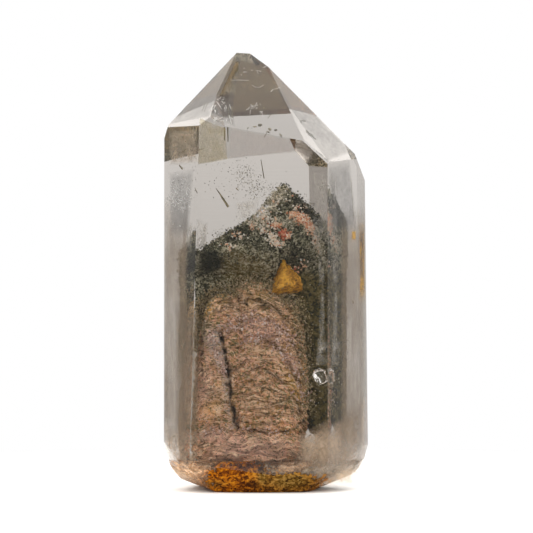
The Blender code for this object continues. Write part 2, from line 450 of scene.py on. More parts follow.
def shown_at(places: np.ndarray) -> tuple[np.ndarray, np.ndarray]:
    """Find the pixels of the photograph at which places show through the front prism face.

    Args:
        places: the places, as rows.

    Returns:
        The pixels from the left, and from the top.
    """
    across, along, height = places.T
    shown = -HALF_DEPTH + (along + HALF_DEPTH) / QUARTZ_IOR
    size = PIXEL * (1 + shown / EYE_DISTANCE)
    return PHOTO_MIDDLE_X + across / size, PHOTO_MIDDLE_Y - (height - EYE_HEIGHT) / size


def blotted(places: np.ndarray, blots: Sequence[Blot]) -> np.ndarray:
    """Add up soft spots at places.

    Args:
        places: the places, as rows.
        blots: the spots.

    Returns:
        The sum for each place.
    """
    pixel_x, pixel_y = shown_at(places)
    total = np.zeros(len(places))
    for blot in blots:
        turn = math.radians(blot.turn)
        right, down = pixel_x - blot.pixel_x, pixel_y - blot.pixel_y
        along = right * math.cos(turn) + down * math.sin(turn)
        away = down * math.cos(turn) - right * math.sin(turn)
        total += blot.strength * np.exp(-(along / blot.wide) ** 2 - (away / blot.tall) ** 2)
    return total


def traced(places: np.ndarray, line: Sequence[Pixel], half: float,
           waver: Union[float, np.ndarray] = 0) -> np.ndarray:
    """Mark places near a line that is given in pixels of the photograph.

    Args:
        places: the places, as rows.
        line: the line's points.
        half: the half width over which the mark fades.
        waver: how far the line strays sideways at each place, in pixels.

    Returns:
        1 on the line, fading to 0 beside it.
    """
    pixel_x, pixel_y = shown_at(places)
    spots = np.stack((pixel_x + waver, pixel_y + waver), axis=1)
    nearest = np.full(len(places), np.inf)
    for start, end in zip(line, line[1:]):
        first, way = np.array(start), np.array(end) - np.array(start)
        share = np.clip((spots - first) @ way / (way @ way), 0, 1)
        nearest = np.minimum(nearest, np.linalg.norm(spots - first - share[:, None] * way, axis=1))
    return np.exp(-(nearest / half) ** 2)


class GrainShape(Enum):
    """How a grain is built."""

    FLAKE = (1, 0.8, 0.35)
    LUMP = (1, 0.85, 0.7)


def grain_mesh(places: np.ndarray, sizes: np.ndarray, tones: np.ndarray, shape: GrainShape,
               rng: Chance) -> Mesh:
    """Join many small grains in one mesh, each turned its own way.

    Args:
        places: the grains' centres, as rows.
        sizes: their radii.
        tones: a number for each grain, from 0 to 1, that its material reads.
        shape: how each is built.
        rng: the source of the turns.

    Returns:
        The mesh, with the tones stored as tone.
    """
    bm = bmesh.new()
    bmesh.ops.create_icosphere(bm, subdivisions=1, radius=1)
    stone = np.array([vert.co[:] for vert in bm.verts])
    sides = np.array([[vert.index for vert in side.verts] for side in bm.faces])
    bm.free()
    count = len(places)
    turns = rng.normal(size=(count, 4))
    turns /= np.linalg.norm(turns, axis=1)[:, None]
    w, x, y, z = turns.T
    frames = np.stack([
        np.stack([1 - 2 * (y * y + z * z), 2 * (x * y - w * z), 2 * (x * z + w * y)], axis=1),
        np.stack([2 * (x * y + w * z), 1 - 2 * (x * x + z * z), 2 * (y * z - w * x)], axis=1),
        np.stack([2 * (x * z - w * y), 2 * (y * z + w * x), 1 - 2 * (x * x + y * y)], axis=1),
    ], axis=1)
    chips = stone * np.array(shape.value) * rng.uniform(0.7, 1.25, size=(count, len(stone), 1))
    points = np.einsum("nij,nvj->nvi", frames, chips * sizes[:, None, None]) + places[:, None, :]
    faces = sides[None, :, :] + (np.arange(count) * len(stone))[:, None, None]
    mesh = bpy.data.meshes.new("grains")
    mesh.from_pydata(points.reshape(-1, 3).tolist(), [], faces.reshape(-1, 3).tolist())
    mark_points(mesh, "tone", np.repeat(tones, len(stone)))
    return mesh


class Sheet:
    """A material's or a group's node tree, with short ways to add and join its nodes."""

    def __init__(self, tree: bpy.types.NodeTree) -> None:
        """Work on a node tree."""
        self.tree = tree

    def add(self, kind: str, **values: object) -> bpy.types.Node:
        """Add a node and set its properties.

        Args:
            kind: the node's type.
            values: its properties.

        Returns:
            The node.
        """
        node = self.tree.nodes.new(kind)
        for key, value in values.items():
            setattr(node, key, value)
        return node

    def feed(self, target: Socket, item: object) -> None:
        """Link a socket to another, or set it to a number or a colour.

        Args:
            target: the socket to feed.
            item: what feeds it.
        """
        if isinstance(item, Socket):
            self.tree.links.new(item, target)
        elif isinstance(item, tuple) and len(item) == 3 and target.type == "RGBA":
            target.default_value = (*item, 1)
        else:
            target.default_value = item

    def join(self, node: bpy.types.Node, **items: object) -> None:
        """Feed a node's inputs.

        Args:
            node: the node.
            items: what feeds each input, named with underscores for spaces.
        """
        for key, item in items.items():
            self.feed(node.inputs[key.replace("_", " ")], item)

    def place(self) -> Socket:
        """Give the piece's own coordinates."""
        return self.add("ShaderNodeTexCoord").outputs["Object"]

    def mark(self, name: str) -> Socket:
        """Give a number that the mesh stores."""
        return self.add("ShaderNodeAttribute", attribute_name=name).outputs["Fac"]

    def speckle(self, size: Value, detail: float = 3, rough: float = 0.6,
                source: Optional[Socket] = None) -> Socket:
        """Add a noise.

        Args:
            size: cells a metre.
            detail: octaves.
            rough: strength of each octave.
            source: coordinates, or none for the piece's own.

        Returns:
            The noise's value.
        """
        node = self.add("ShaderNodeTexNoise")
        self.join(node, Scale=size, Detail=detail, Roughness=rough, Vector=source or self.place())
        return node.outputs["Fac"]

    def cells(self, size: Value) -> tuple[Socket, Socket]:
        """Add a cell pattern on the piece's own coordinates.

        Args:
            size: cells a metre.

        Returns:
            The distance from the cell's middle, and the cell's own grey.
        """
        node = self.add("ShaderNodeTexVoronoi")
        self.join(node, Scale=size, Vector=self.place())
        grey = self.add("ShaderNodeSeparateColor")
        self.join(grey, Color=node.outputs["Color"])
        return node.outputs["Distance"], grey.outputs["Red"]

    def ramp(self, source: Socket, stops: Stops) -> Socket:
        """Colour a value.

        Args:
            source: the value.
            stops: positions and colours.

        Returns:
            The colour.
        """
        node = self.add("ShaderNodeValToRGB")
        elements = node.color_ramp.elements
        while len(elements) < len(stops):
            elements.new(0.5)
        for element, (position, colour) in zip(elements, stops):
            element.position = position
            element.color = (*colour, 1)
        self.feed(node.inputs["Fac"], source)
        return node.outputs["Color"]

    def span(self, source: Value, low: Value, high: Value, to_low: Value = 0, to_high: Value = 1) -> Socket:
        """Map a range of a value to another, clamped.

        Args:
            source: the value.
            low: start of its range.
            high: end of its range.
            to_low: what the start becomes.
            to_high: what the end becomes.

        Returns:
            The mapped value.
        """
        node = self.add("ShaderNodeMapRange")
        self.join(node, Value=source, From_Min=low, From_Max=high, To_Min=to_low, To_Max=to_high)
        return node.outputs["Result"]

    def reckon(self, operation: str, first: Value, second: Value = 0) -> Socket:
        """Add a sum on values or sockets.

        Args:
            operation: the Math node's operation.
            first: a socket or a number.
            second: a socket or a number.

        Returns:
            The result.
        """
        node = self.add("ShaderNodeMath", operation=operation)
        self.feed(node.inputs[0], first)
        self.feed(node.inputs[1], second)
        return node.outputs[0]

    def times(self, first: Value, second: Value) -> Socket:
        """Multiply two values."""
        return self.reckon("MULTIPLY", first, second)

    def plus(self, first: Value, second: Value) -> Socket:
        """Add two values."""
        return self.reckon("ADD", first, second)

    def minus(self, first: Value, second: Value) -> Socket:
        """Take the second value from the first."""
        return self.reckon("SUBTRACT", first, second)

    def larger(self, first: Value, second: Value) -> Socket:
        """Give the larger of two values."""
        return self.reckon("MAXIMUM", first, second)

    def blend(self, share: Value, first: object, second: object, way: str = "MIX") -> Socket:
        """Mix two colours.

        Args:
            share: how much of the second.
            first: a colour or a socket.
            second: a colour or a socket.
            way: the blend type.

        Returns:
            The colour.
        """
        node = self.add("ShaderNodeMix", data_type="RGBA", blend_type=way)
        for index, item in ((0, share), (6, first), (7, second)):
            self.feed(node.inputs[index], item)
        return node.outputs[2]

    def axes(self, source: Socket) -> bpy.types.NodeOutputs:
        """Split a vector.

        Args:
            source: the vector.

        Returns:
            The sockets X, Y and Z.
        """
        node = self.add("ShaderNodeSeparateXYZ")
        self.join(node, Vector=source)
        return node.outputs

    def stretched(self, across: float, along: float, up: float) -> Socket:
        """Give the piece's own coordinates, stretched.

        Args:
            across: how much along X.
            along: how much along Y.
            up: how much along Z.

        Returns:
            The coordinates.
        """
        node = self.add("ShaderNodeMapping")
        self.join(node, Vector=self.place(), Scale=(across, along, up))
        return node.outputs["Vector"]


class Finish(Sheet):
    """A material whose Principled shader is fed by name."""

    def __init__(self, name: str) -> None:
        """Start a material.

        Args:
            name: the material's name.
        """
        self.material = bpy.data.materials.new(name)
        self.material.use_nodes = True
        super().__init__(self.material.node_tree)
        self.shader = self.tree.nodes["Principled BSDF"]
        self.output = self.tree.nodes["Material Output"]

    def shade(self, **items: object) -> None:
        """Feed the shader's sockets, named with underscores for spaces."""
        self.join(self.shader, **items)

    def relief(self, height: Socket, strength: float, depth: float) -> None:
        """Bump the surface.

        Args:
            height: the relief.
            strength: its strength.
            depth: its depth in metres.
        """
        node = self.add("ShaderNodeBump")
        self.join(node, Strength=strength, Distance=depth, Height=height)
        self.shade(Normal=node.outputs["Normal"])

    def grit(self, grains: float, clumps: float, contrast: float) -> bpy.types.Node:
        """Place the shared grit group.

        Args:
            grains: fine grains a metre.
            clumps: clumps a metre.
            contrast: how far grains differ.

        Returns:
            The group's node, with the outputs Tone and Height.
        """
        node = self.add("ShaderNodeGroup", node_tree=grit_group())
        self.join(node, Grains=grains, Clumps=clumps, Contrast=contrast)
        return node


def grit_group() -> bpy.types.NodeTree:
    """Make, once, the group that breaks a surface into fine mineral grains.

    Returns:
        The group, with the inputs Grains, Clumps and Contrast and the outputs Tone and Height.
    """
    name = "mineral_grit"
    if name in bpy.data.node_groups:
        return bpy.data.node_groups[name]
    group = bpy.data.node_groups.new(name, "ShaderNodeTree")
    for key, start in (("Grains", 3000), ("Clumps", 500), ("Contrast", 1)):
        group.interface.new_socket(key, in_out="INPUT", socket_type="NodeSocketFloat").default_value = start
    for key in ("Tone", "Height"):
        group.interface.new_socket(key, in_out="OUTPUT", socket_type="NodeSocketFloat")
    sheet = Sheet(group)
    given = sheet.add("NodeGroupInput").outputs
    result = sheet.add("NodeGroupOutput").inputs
    near, grey = sheet.cells(given["Grains"])
    soft = sheet.speckle(given["Clumps"], 4, 0.65)
    spread = sheet.times(sheet.minus(grey, 0.5), given["Contrast"])
    sheet.feed(result["Tone"], sheet.plus(soft, sheet.times(spread, 0.6)))
    sheet.feed(result["Height"], sheet.plus(sheet.times(sheet.minus(1, near), 0.5), soft))
    return group


@dataclass(frozen=True)
class ClearQuartzFinish:
    """Slightly smoky clear quartz with faint growth lines on its faces and a frosted, chipped base."""

    tint: Colour = (0.9, 0.885, 0.869)
    density: float = 80
    frost: float = 0.22
    frost_top: float = 7.5 * MM
    line_size: float = 2600

    def material(self) -> Material:
        """Make the material.

        Returns:
            The material.
        """
        made = Finish("clear_quartz")
        made.shade(Base_Color=(1, 1, 1), IOR=QUARTZ_IOR, Transmission_Weight=1, Metallic=0)
        height = made.axes(made.place())["Z"]
        tilt = made.axes(made.add("ShaderNodeNewGeometry").outputs["True Normal"])["Z"]
        low = made.span(height, self.frost_top * 0.6, self.frost_top, 1, 0)
        worn = made.times(low, made.span(tilt, -0.35, -0.15, 1, 0))
        rough = made.times(worn, made.span(made.speckle(420, 5, 0.7), 0.3, 0.7, 0.05, self.frost))
        smear = made.span(made.speckle(260, 4, 0.7), 0.52, 0.75, 0, 0.05)
        made.shade(Roughness=made.plus(rough, smear))
        lines = made.speckle(1, 3, 0.6, made.stretched(60, 60, self.line_size))
        chips = made.speckle(700, 6, 0.75)
        made.relief(made.plus(made.times(lines, 0.012), made.times(chips, worn)), 1, 0.35 * MM)
        smoke = made.add("ShaderNodeVolumeAbsorption")
        made.join(smoke, Color=self.tint, Density=self.density)
        made.feed(made.output.inputs["Volume"], smoke.outputs["Volume"])
        return made.material


@dataclass(frozen=True)
class GrainFinish:
    """Small grains whose colour follows the tone that each one stores."""

    name: str
    stops: Stops
    roughness: float = 0.6
    metal: float = 0

    def material(self) -> Material:
        """Make the material.

        Returns:
            The material.
        """
        made = Finish(self.name)
        fine = made.speckle(4200)
        colour = made.ramp(made.mark("tone"), self.stops)
        shade = made.ramp(fine, ((0.3, (0.6, 0.6, 0.6)), (0.7, (1, 1, 1))))
        made.shade(Base_Color=made.blend(1, colour, shade, "MULTIPLY"), Metallic=self.metal,
                   Roughness=made.span(fine, 0.3, 0.7, self.roughness - 0.15, self.roughness + 0.2))
        made.relief(fine, 0.5, 0.1 * MM)
        return made.material


@dataclass(frozen=True)
class ChloriteFinish:
    """Felted green-grey chlorite, thinning to bare quartz where little of it settled."""

    dark: Colour = (0.009, 0.011, 0.004)
    green: Colour = (0.085, 0.088, 0.045)
    pale: Colour = (0.6, 0.56, 0.4)
    olive: Colour = (0.085, 0.069, 0.008)
    haze: Colour = (0.18, 0.135, 0.05)
    fawn: Colour = (0.55, 0.38, 0.18)
    thin: Colour = (0.36, 0.34, 0.25)
    cream: Colour = (0.84, 0.78, 0.66)

    def material(self) -> Material:
        """Make the material.

        Returns:
            The material.
        """
        made = Finish("chlorite")
        grit = made.grit(3600, 620, 0.8)
        tone = grit.outputs["Tone"]
        felt = made.ramp(tone, ((0.3, self.dark), (0.46, self.green), (0.74, self.pale)))
        layers = (("haze", ((0.25, self.olive), (0.5, self.haze), (0.85, self.pale))),
                  ("pale", ((0.25, self.green), (0.46, self.thin), (0.66, self.cream))),
                  ("dense", ((0.4, self.dark), (0.85, self.green))),
                  ("olive", ((0.3, self.dark), (0.5, self.olive), (0.8, self.haze))))
        for mark, stops in layers:
            felt = made.blend(made.mark(mark), felt, made.ramp(tone, stops))
        fawn = made.blend(made.span(made.speckle(260), 0.3, 0.7), self.fawn, self.haze)
        felt = made.blend(made.mark("behind"), felt, made.blend(0.2, fawn, felt))
        bare = made.minus(1, made.mark("cover"))
        holes = made.span(tone, bare, made.plus(bare, 0.08))
        made.shade(Base_Color=felt, Roughness=made.span(tone, 0.3, 0.8, 0.9, 0.55), Alpha=holes)
        made.relief(grit.outputs["Height"], 0.7, 0.3 * MM)
        return made.material


@dataclass(frozen=True)
class LayeredClayFinish:
    """Pink-brown clay and mica in fine wavy layers, with dark strokes between them, painted shade at the
    layers' roots, in pits and along the cracks, painted highlights on the layers' lips and on lighter
    patches, and a painted sheen next to the fracture.
    """

    mauve: Colour = (0.85, 0.42, 0.24)
    tan: Colour = (0.67, 0.35, 0.125)
    moss: Colour = (0.2, 0.18, 0.055)
    # A pale pink of the clay, which is also the colour of the painted highlights.
    blush: Colour = (1, 0.73, 0.5)
    shadow: Colour = (0.025, 0.014, 0.007)
    ochre: Colour = (0.86, 0.46, 0.06)
    # Colour of the painted sheen next to the fracture.
    silver: Colour = (0.66, 0.58, 0.52)
    lilac_and_highlight: Colour = (1, 0.61, 0.48)
    stroke_size: float = 520
    strokes_a_layer: float = 4.4
    bands_a_layer: float = 3.3
    band_waver: float = 5

    def material(self) -> Material:
        """Make the material, with strokes that follow the layers stored on the mesh, and painted shade and
        highlights at the layers' roots and lips.

        Returns:
            The material.
        """
        made = Finish("layered_clay")
        grit = made.grit(2600, 300, 0.9)
        tone = grit.outputs["Tone"]
        wide = made.speckle(230, 4)
        swing = made.plus(tone, made.span(wide, 0.3, 0.7, -0.14, 0.14))
        body = made.ramp(swing, ((0.26, self.moss), (0.42, self.tan), (0.56, self.mauve), (0.85, self.blush)))
        mossy = made.ramp(tone, ((0.3, self.shadow), (0.5, self.moss), (0.85, self.tan)))
        # The first mark lays a pale pink on lighter patches and on painted highlights, and the last one lays
        # a painted sheen.
        stains = (("blush", 0.85, self.lilac_and_highlight), ("moss", 0.85, mossy),
                  ("ochre", made.span(tone, 0.3, 0.6, 0.3, 0.9), self.ochre),
                  ("silver", made.span(tone, 0.35, 0.6, 0.2, 0.95), self.silver))
        for mark, share, stain in stains:
            body = made.blend(made.times(made.mark(mark), share), body, stain)
        place = made.axes(made.place())
        along = made.add("ShaderNodeCombineXYZ")
        for axis in "XY":
            made.feed(along.inputs[axis], made.times(place[axis], self.stroke_size))
        made.join(along, Z=made.times(made.mark("phase"), self.strokes_a_layer))
        strokes = made.speckle(1, 3, 0.65, along.outputs["Vector"])
        waver = made.times(made.speckle(420), self.band_waver)
        saw = made.reckon("FRACT", made.plus(made.times(made.mark("phase"), self.bands_a_layer), waver))
        broken = made.span(made.speckle(360, 4, 0.7), 0.4, 0.58, 0.25, 1)
        # Painted shade at the foot of each ledge and painted highlights on its upper edge, broken up along
        # the layers.
        ledge_gap_shade = made.times(made.span(saw, 0, 0.36, 0.95, 0), made.span(strokes, 0.44, 0.54))
        ledge_lip_highlight = made.times(made.span(saw, 0.45, 0.85, 0, 0.9), made.span(strokes, 0.46, 0.56, 0.9, 0))
        dark = made.larger(made.times(ledge_gap_shade, broken), made.span(strokes, 0.54, 0.61, 0, 0.85))
        # The dark strokes and the painted shade grow stronger towards the roots, and near the roots more
        # painted shade is added in patches.
        dark = made.times(dark, made.span(made.mark("root"), 0, 1, 0.4, 1))
        deep = made.times(made.span(made.mark("root"), 0.75, 1), made.span(wide, 0.4, 0.6, 0.1, 0.75))
        body = made.blend(made.larger(dark, deep), body, self.shadow)
        # Painted highlights: the layers' lips and the light strokes take the pale pink blush colour.
        light = made.larger(made.times(ledge_lip_highlight, broken), made.span(strokes, 0.37, 0.46, 0.9, 0))
        body = made.blend(light, body, self.blush)
        # Painted shade in pits and along the cracks and folds.
        pits = made.span(made.cells(4200)[1], 0.08, 0.16, 0.55, 0)
        body = made.blend(made.mark("crack"), made.blend(pits, body, self.shadow), self.shadow)
        made.shade(Base_Color=body, Roughness=made.span(tone, 0.3, 0.7, 0.95, 0.65))
        made.relief(made.minus(made.plus(grit.outputs["Height"], saw), strokes), 1, 0.3 * MM)
        return made.material


@dataclass(frozen=True)
class OchreFinish:
    """Ochre and rust: a bright earthy mineral from yellow-orange to brown."""

    name: str
    deep: Colour
    middle: Colour
    bright: Colour
    line_up: float = 1

    def material(self) -> Material:
        """Make the material.

        Returns:
            The material.
        """
        made = Finish(self.name)
        grit = made.grit(3000, 420, 0.6)
        lines = made.speckle(1, 3, 0.6, made.stretched(1300, 1300, 1300 * self.line_up))
        tone = made.plus(made.times(grit.outputs["Tone"], 0.55), made.times(lines, 0.45))
        colour = made.ramp(tone, ((0.32, self.deep), (0.5, self.middle), (0.66, self.bright)))
        made.shade(Base_Color=colour, Roughness=made.span(tone, 0.3, 0.7, 0.85, 0.6))
        made.relief(grit.outputs["Height"], 0.7, 0.25 * MM)
        return made.material


@dataclass(frozen=True)
class VeilFinish:
    """A healed fracture: a thin, patchy film of tiny pale bubbles, clear between them."""

    name: str
    colour: Colour
    patch: float
    low: float
    high: float
    most: float
    stretch: Triple = (1, 1, 1)
    grain: float = 0.2
    specks: float = 0.3
    roughness: float = 0.6

    def material(self) -> Material:
        """Make the material.

        Returns:
            The material.
        """
        made = Finish(self.name)
        flow = made.speckle(self.patch, 6, 0.72, made.stretched(*self.stretch))
        dots = made.speckle(self.patch * 5, 2, 0.6)
        film = made.times(made.span(flow, self.low, self.high), made.span(dots, 0.38, 0.6, 1 - self.grain, 1))
        film = made.times(made.times(film, made.mark("fade")), self.most)
        speck = made.blend(self.specks, self.colour, (0.9, 0.9, 0.88))
        tint = made.blend(made.span(dots, 0.3, 0.7), self.colour, speck)
        made.shade(Base_Color=tint, Roughness=self.roughness, Alpha=film)
        made.relief(dots, 0.4, 0.1 * MM)
        return made.material


@dataclass
class Studio:
    """A pale floor, a soft white surround, two soft lights and the camera."""

    floor_radius: float = 0.2
    fade_start: float = 0.03
    fade_end: float = 0.11
    level_light: float = 0.64
    top_light: float = 2.9
    below_light: float = 0.56
    camera_side: float = 0.4
    overhead: float = 0.66
    tint: Colour = (1, 0.965, 0.93)

    def surround(self) -> None:
        """Light the scene with an even surround that is brighter overhead and plain white to the camera."""
        world = bpy.data.worlds.new("soft_studio")
        world.use_nodes = True
        bpy.context.scene.world = world
        sheet = Sheet(world.node_tree)
        backdrop = world.node_tree.nodes["Background"]
        way = sheet.axes(sheet.add("ShaderNodeTexCoord").outputs["Generated"])
        above = sheet.span(way["Z"], 0, 0.9, self.level_light, self.top_light)
        below = sheet.span(way["Z"], -0.25, -0.02, self.below_light, self.level_light)
        over = sheet.reckon("GREATER_THAN", way["Z"], 0)
        strength = sheet.plus(sheet.times(above, over), sheet.times(below, sheet.minus(1, over)))
        strength = sheet.times(strength, sheet.span(way["Y"], -0.97, -0.8, self.camera_side, 1))
        strength = sheet.times(strength, sheet.span(way["Z"], 0.87, 0.97, 1, self.overhead))
        seen = sheet.add("ShaderNodeLightPath").outputs["Is Camera Ray"]
        sheet.join(backdrop, Color=sheet.blend(seen, self.tint, (1, 1, 1)),
                   Strength=sheet.span(seen, 0, 1, strength, 1))

    def floor(self) -> None:
        """Lay the pale floor, which fades into the surround."""
        bm = bmesh.new()
        bmesh.ops.create_circle(bm, cap_ends=True, segments=96, radius=self.floor_radius)
        made = Finish("pale_floor")
        reach = made.add("ShaderNodeVectorMath", operation="LENGTH")
        made.feed(reach.inputs[0], made.place())
        grain = made.speckle(90, 4)
        made.shade(Base_Color=made.ramp(grain, ((0.3, (0.8, 0.795, 0.785)), (0.7, (0.84, 0.835, 0.825)))),
                   Roughness=0.85,
                   Alpha=made.span(reach.outputs["Value"], self.fade_start, self.fade_end, 1, 0))
        ground = bpy.data.objects.new("floor", mesh_of(bm, "floor"))
        ground.data.materials.append(made.material)
        bpy.context.scene.collection.objects.link(ground)

    def light(self, name: str, place: Vector, size: float, power: float) -> None:
        """Hang a square soft light that faces the crystal's middle.

        Args:
            name: its name.
            place: where it hangs.
            size: its side.
            power: its power in watts.
        """
        data = bpy.data.lights.new(name, "AREA")
        data.shape = "SQUARE"
        data.size = size
        data.energy = power
        lamp = bpy.data.objects.new(name, data)
        lamp.location = place
        lamp.rotation_mode = "QUATERNION"
        lamp.rotation_quaternion = (Vector((0, 0, EYE_HEIGHT)) - place).to_track_quat("-Z", "Y")
        bpy.context.scene.collection.objects.link(lamp)

    def camera(self) -> None:
        """Set the camera where the photograph was taken from, level with the crystal's middle."""
        data = bpy.data.cameras.new("camera")
        data.sensor_width = 36
        data.lens = data.sensor_width * EYE_DISTANCE / (PHOTO_WIDTH * PIXEL)
        data.clip_start = 0.01
        data.clip_end = 20
        eye = bpy.data.objects.new("camera", data)
        eye.location = (EYE_ACROSS, -EYE_DISTANCE, EYE_HEIGHT)
        eye.rotation_mode = "QUATERNION"
        eye.rotation_quaternion = FORWARD.to_track_quat("-Z", "Y")
        bpy.context.scene.collection.objects.link(eye)
        bpy.context.scene.camera = eye

    def build(self) -> None:
        """Make the stage, lights and camera."""
        self.surround()
        self.floor()
        self.light("key_light", Vector((-0.55, -0.6, 0.75)), 0.6, 2.6)
        self.light("fill_light", Vector((0.6, -0.35, 0.6)), 0.5, 1.2)
        self.camera()
        scene = bpy.context.scene
        scene.view_settings.view_transform = "Standard"
        bounces = (("max", 24), ("transmission", 20), ("glossy", 14), ("diffuse", 4), ("transparent_max", 24))
        for kind, most in bounces:
            setattr(scene.cycles, f"{kind}_bounces", most)


@dataclass
class ClearQuartz:
    """The clear outer crystal: six prism faces, the faces of the point, a growth step and a worn base."""

    edge_wear: float = 0.09 * MM
    finish: ClearQuartzFinish = ClearQuartzFinish()

    def growth_step(self) -> BMesh:
        """Shape the thin raised step low on the left of the front face of the point.

        Returns:
            The step, which reaches a little into the crystal.
        """
        front = POINT["front"]
        root = front.through - outward(front.azimuth, front.tilt) * STEP_ROOT
        underside = Facet(front.azimuth - 180, -front.tilt, root)
        return cut_block((PRISM["front"], POINT["left"], Facet(35, 41, STEP_FOOT), underside))

    def build(self) -> None:
        """Make the crystal and let it stand for its CAD node."""
        host = cut_block((*PRISM.values(), *POINT.values(), *BASE_WEAR, GROUND))
        mesh = joined((host, self.growth_step()))
        bm = bmesh.new()
        bm.from_mesh(mesh)
        bmesh.ops.remove_doubles(bm, verts=bm.verts, dist=WELD * 10)
        bmesh.ops.dissolve_limit(bm, angle_limit=0.002, verts=bm.verts, edges=bm.edges)
        sharp = [edge for edge in bm.edges if edge.is_manifold and edge.calc_face_angle_signed() > 0.1]
        bmesh.ops.bevel(bm, geom=sharp, offset=self.edge_wear, offset_type="OFFSET", segments=1,
                        profile=0.5, affect="EDGES", clamp_overlap=True, material=-1)
        bmesh.ops.recalc_face_normals(bm, faces=bm.faces)
        place_piece("clear_quartz_point", mesh_of(bm, "quartz"), self.finish.material(),
                    "quartz_point")


# Where the phantom is dense and dark, thin, cloudy or dusted with pale grains, in pixels of the photograph
DENSE_SPOTS = (
    Blot(303, 207, 15, 5.5, 1.1, 48), Blot(286, 206, 6, 6, 0.4), Blot(236, 236, 13, 4, 0.9, -22),
    Blot(210, 262, 12, 11, 1.8), Blot(262, 247, 13, 5, 0.6), Blot(302, 262, 16, 14, 0.7),
    Blot(318, 222, 6, 8, 0.6, 50), Blot(186, 262, 6, 14, 0.8), Blot(250, 230, 9, 4, 0.4),
)
BARE_SPOTS = (
    Blot(262, 212, 13, 6, 1.1, -45), Blot(226, 232, 12, 3, 0.5, -25), Blot(314, 205, 6, 4, 0.5),
    Blot(200, 250, 5, 3, 0.5),
)
HAZY_SPOTS = (Blot(246, 270, 27, 19, 1.2), Blot(228, 262, 12, 12, 0.5))
PALE_SPOTS = (
    Blot(262, 212, 14, 6, 0.9, -42), Blot(258, 226, 12, 6, 0.7), Blot(286, 222, 14, 5, 0.6),
    Blot(277, 194, 8, 9, 1.4), Blot(318, 246, 4, 12, 0.8), Blot(222, 240, 8, 3, 0.5),
    Blot(198, 262, 4, 9, 0.6),
)


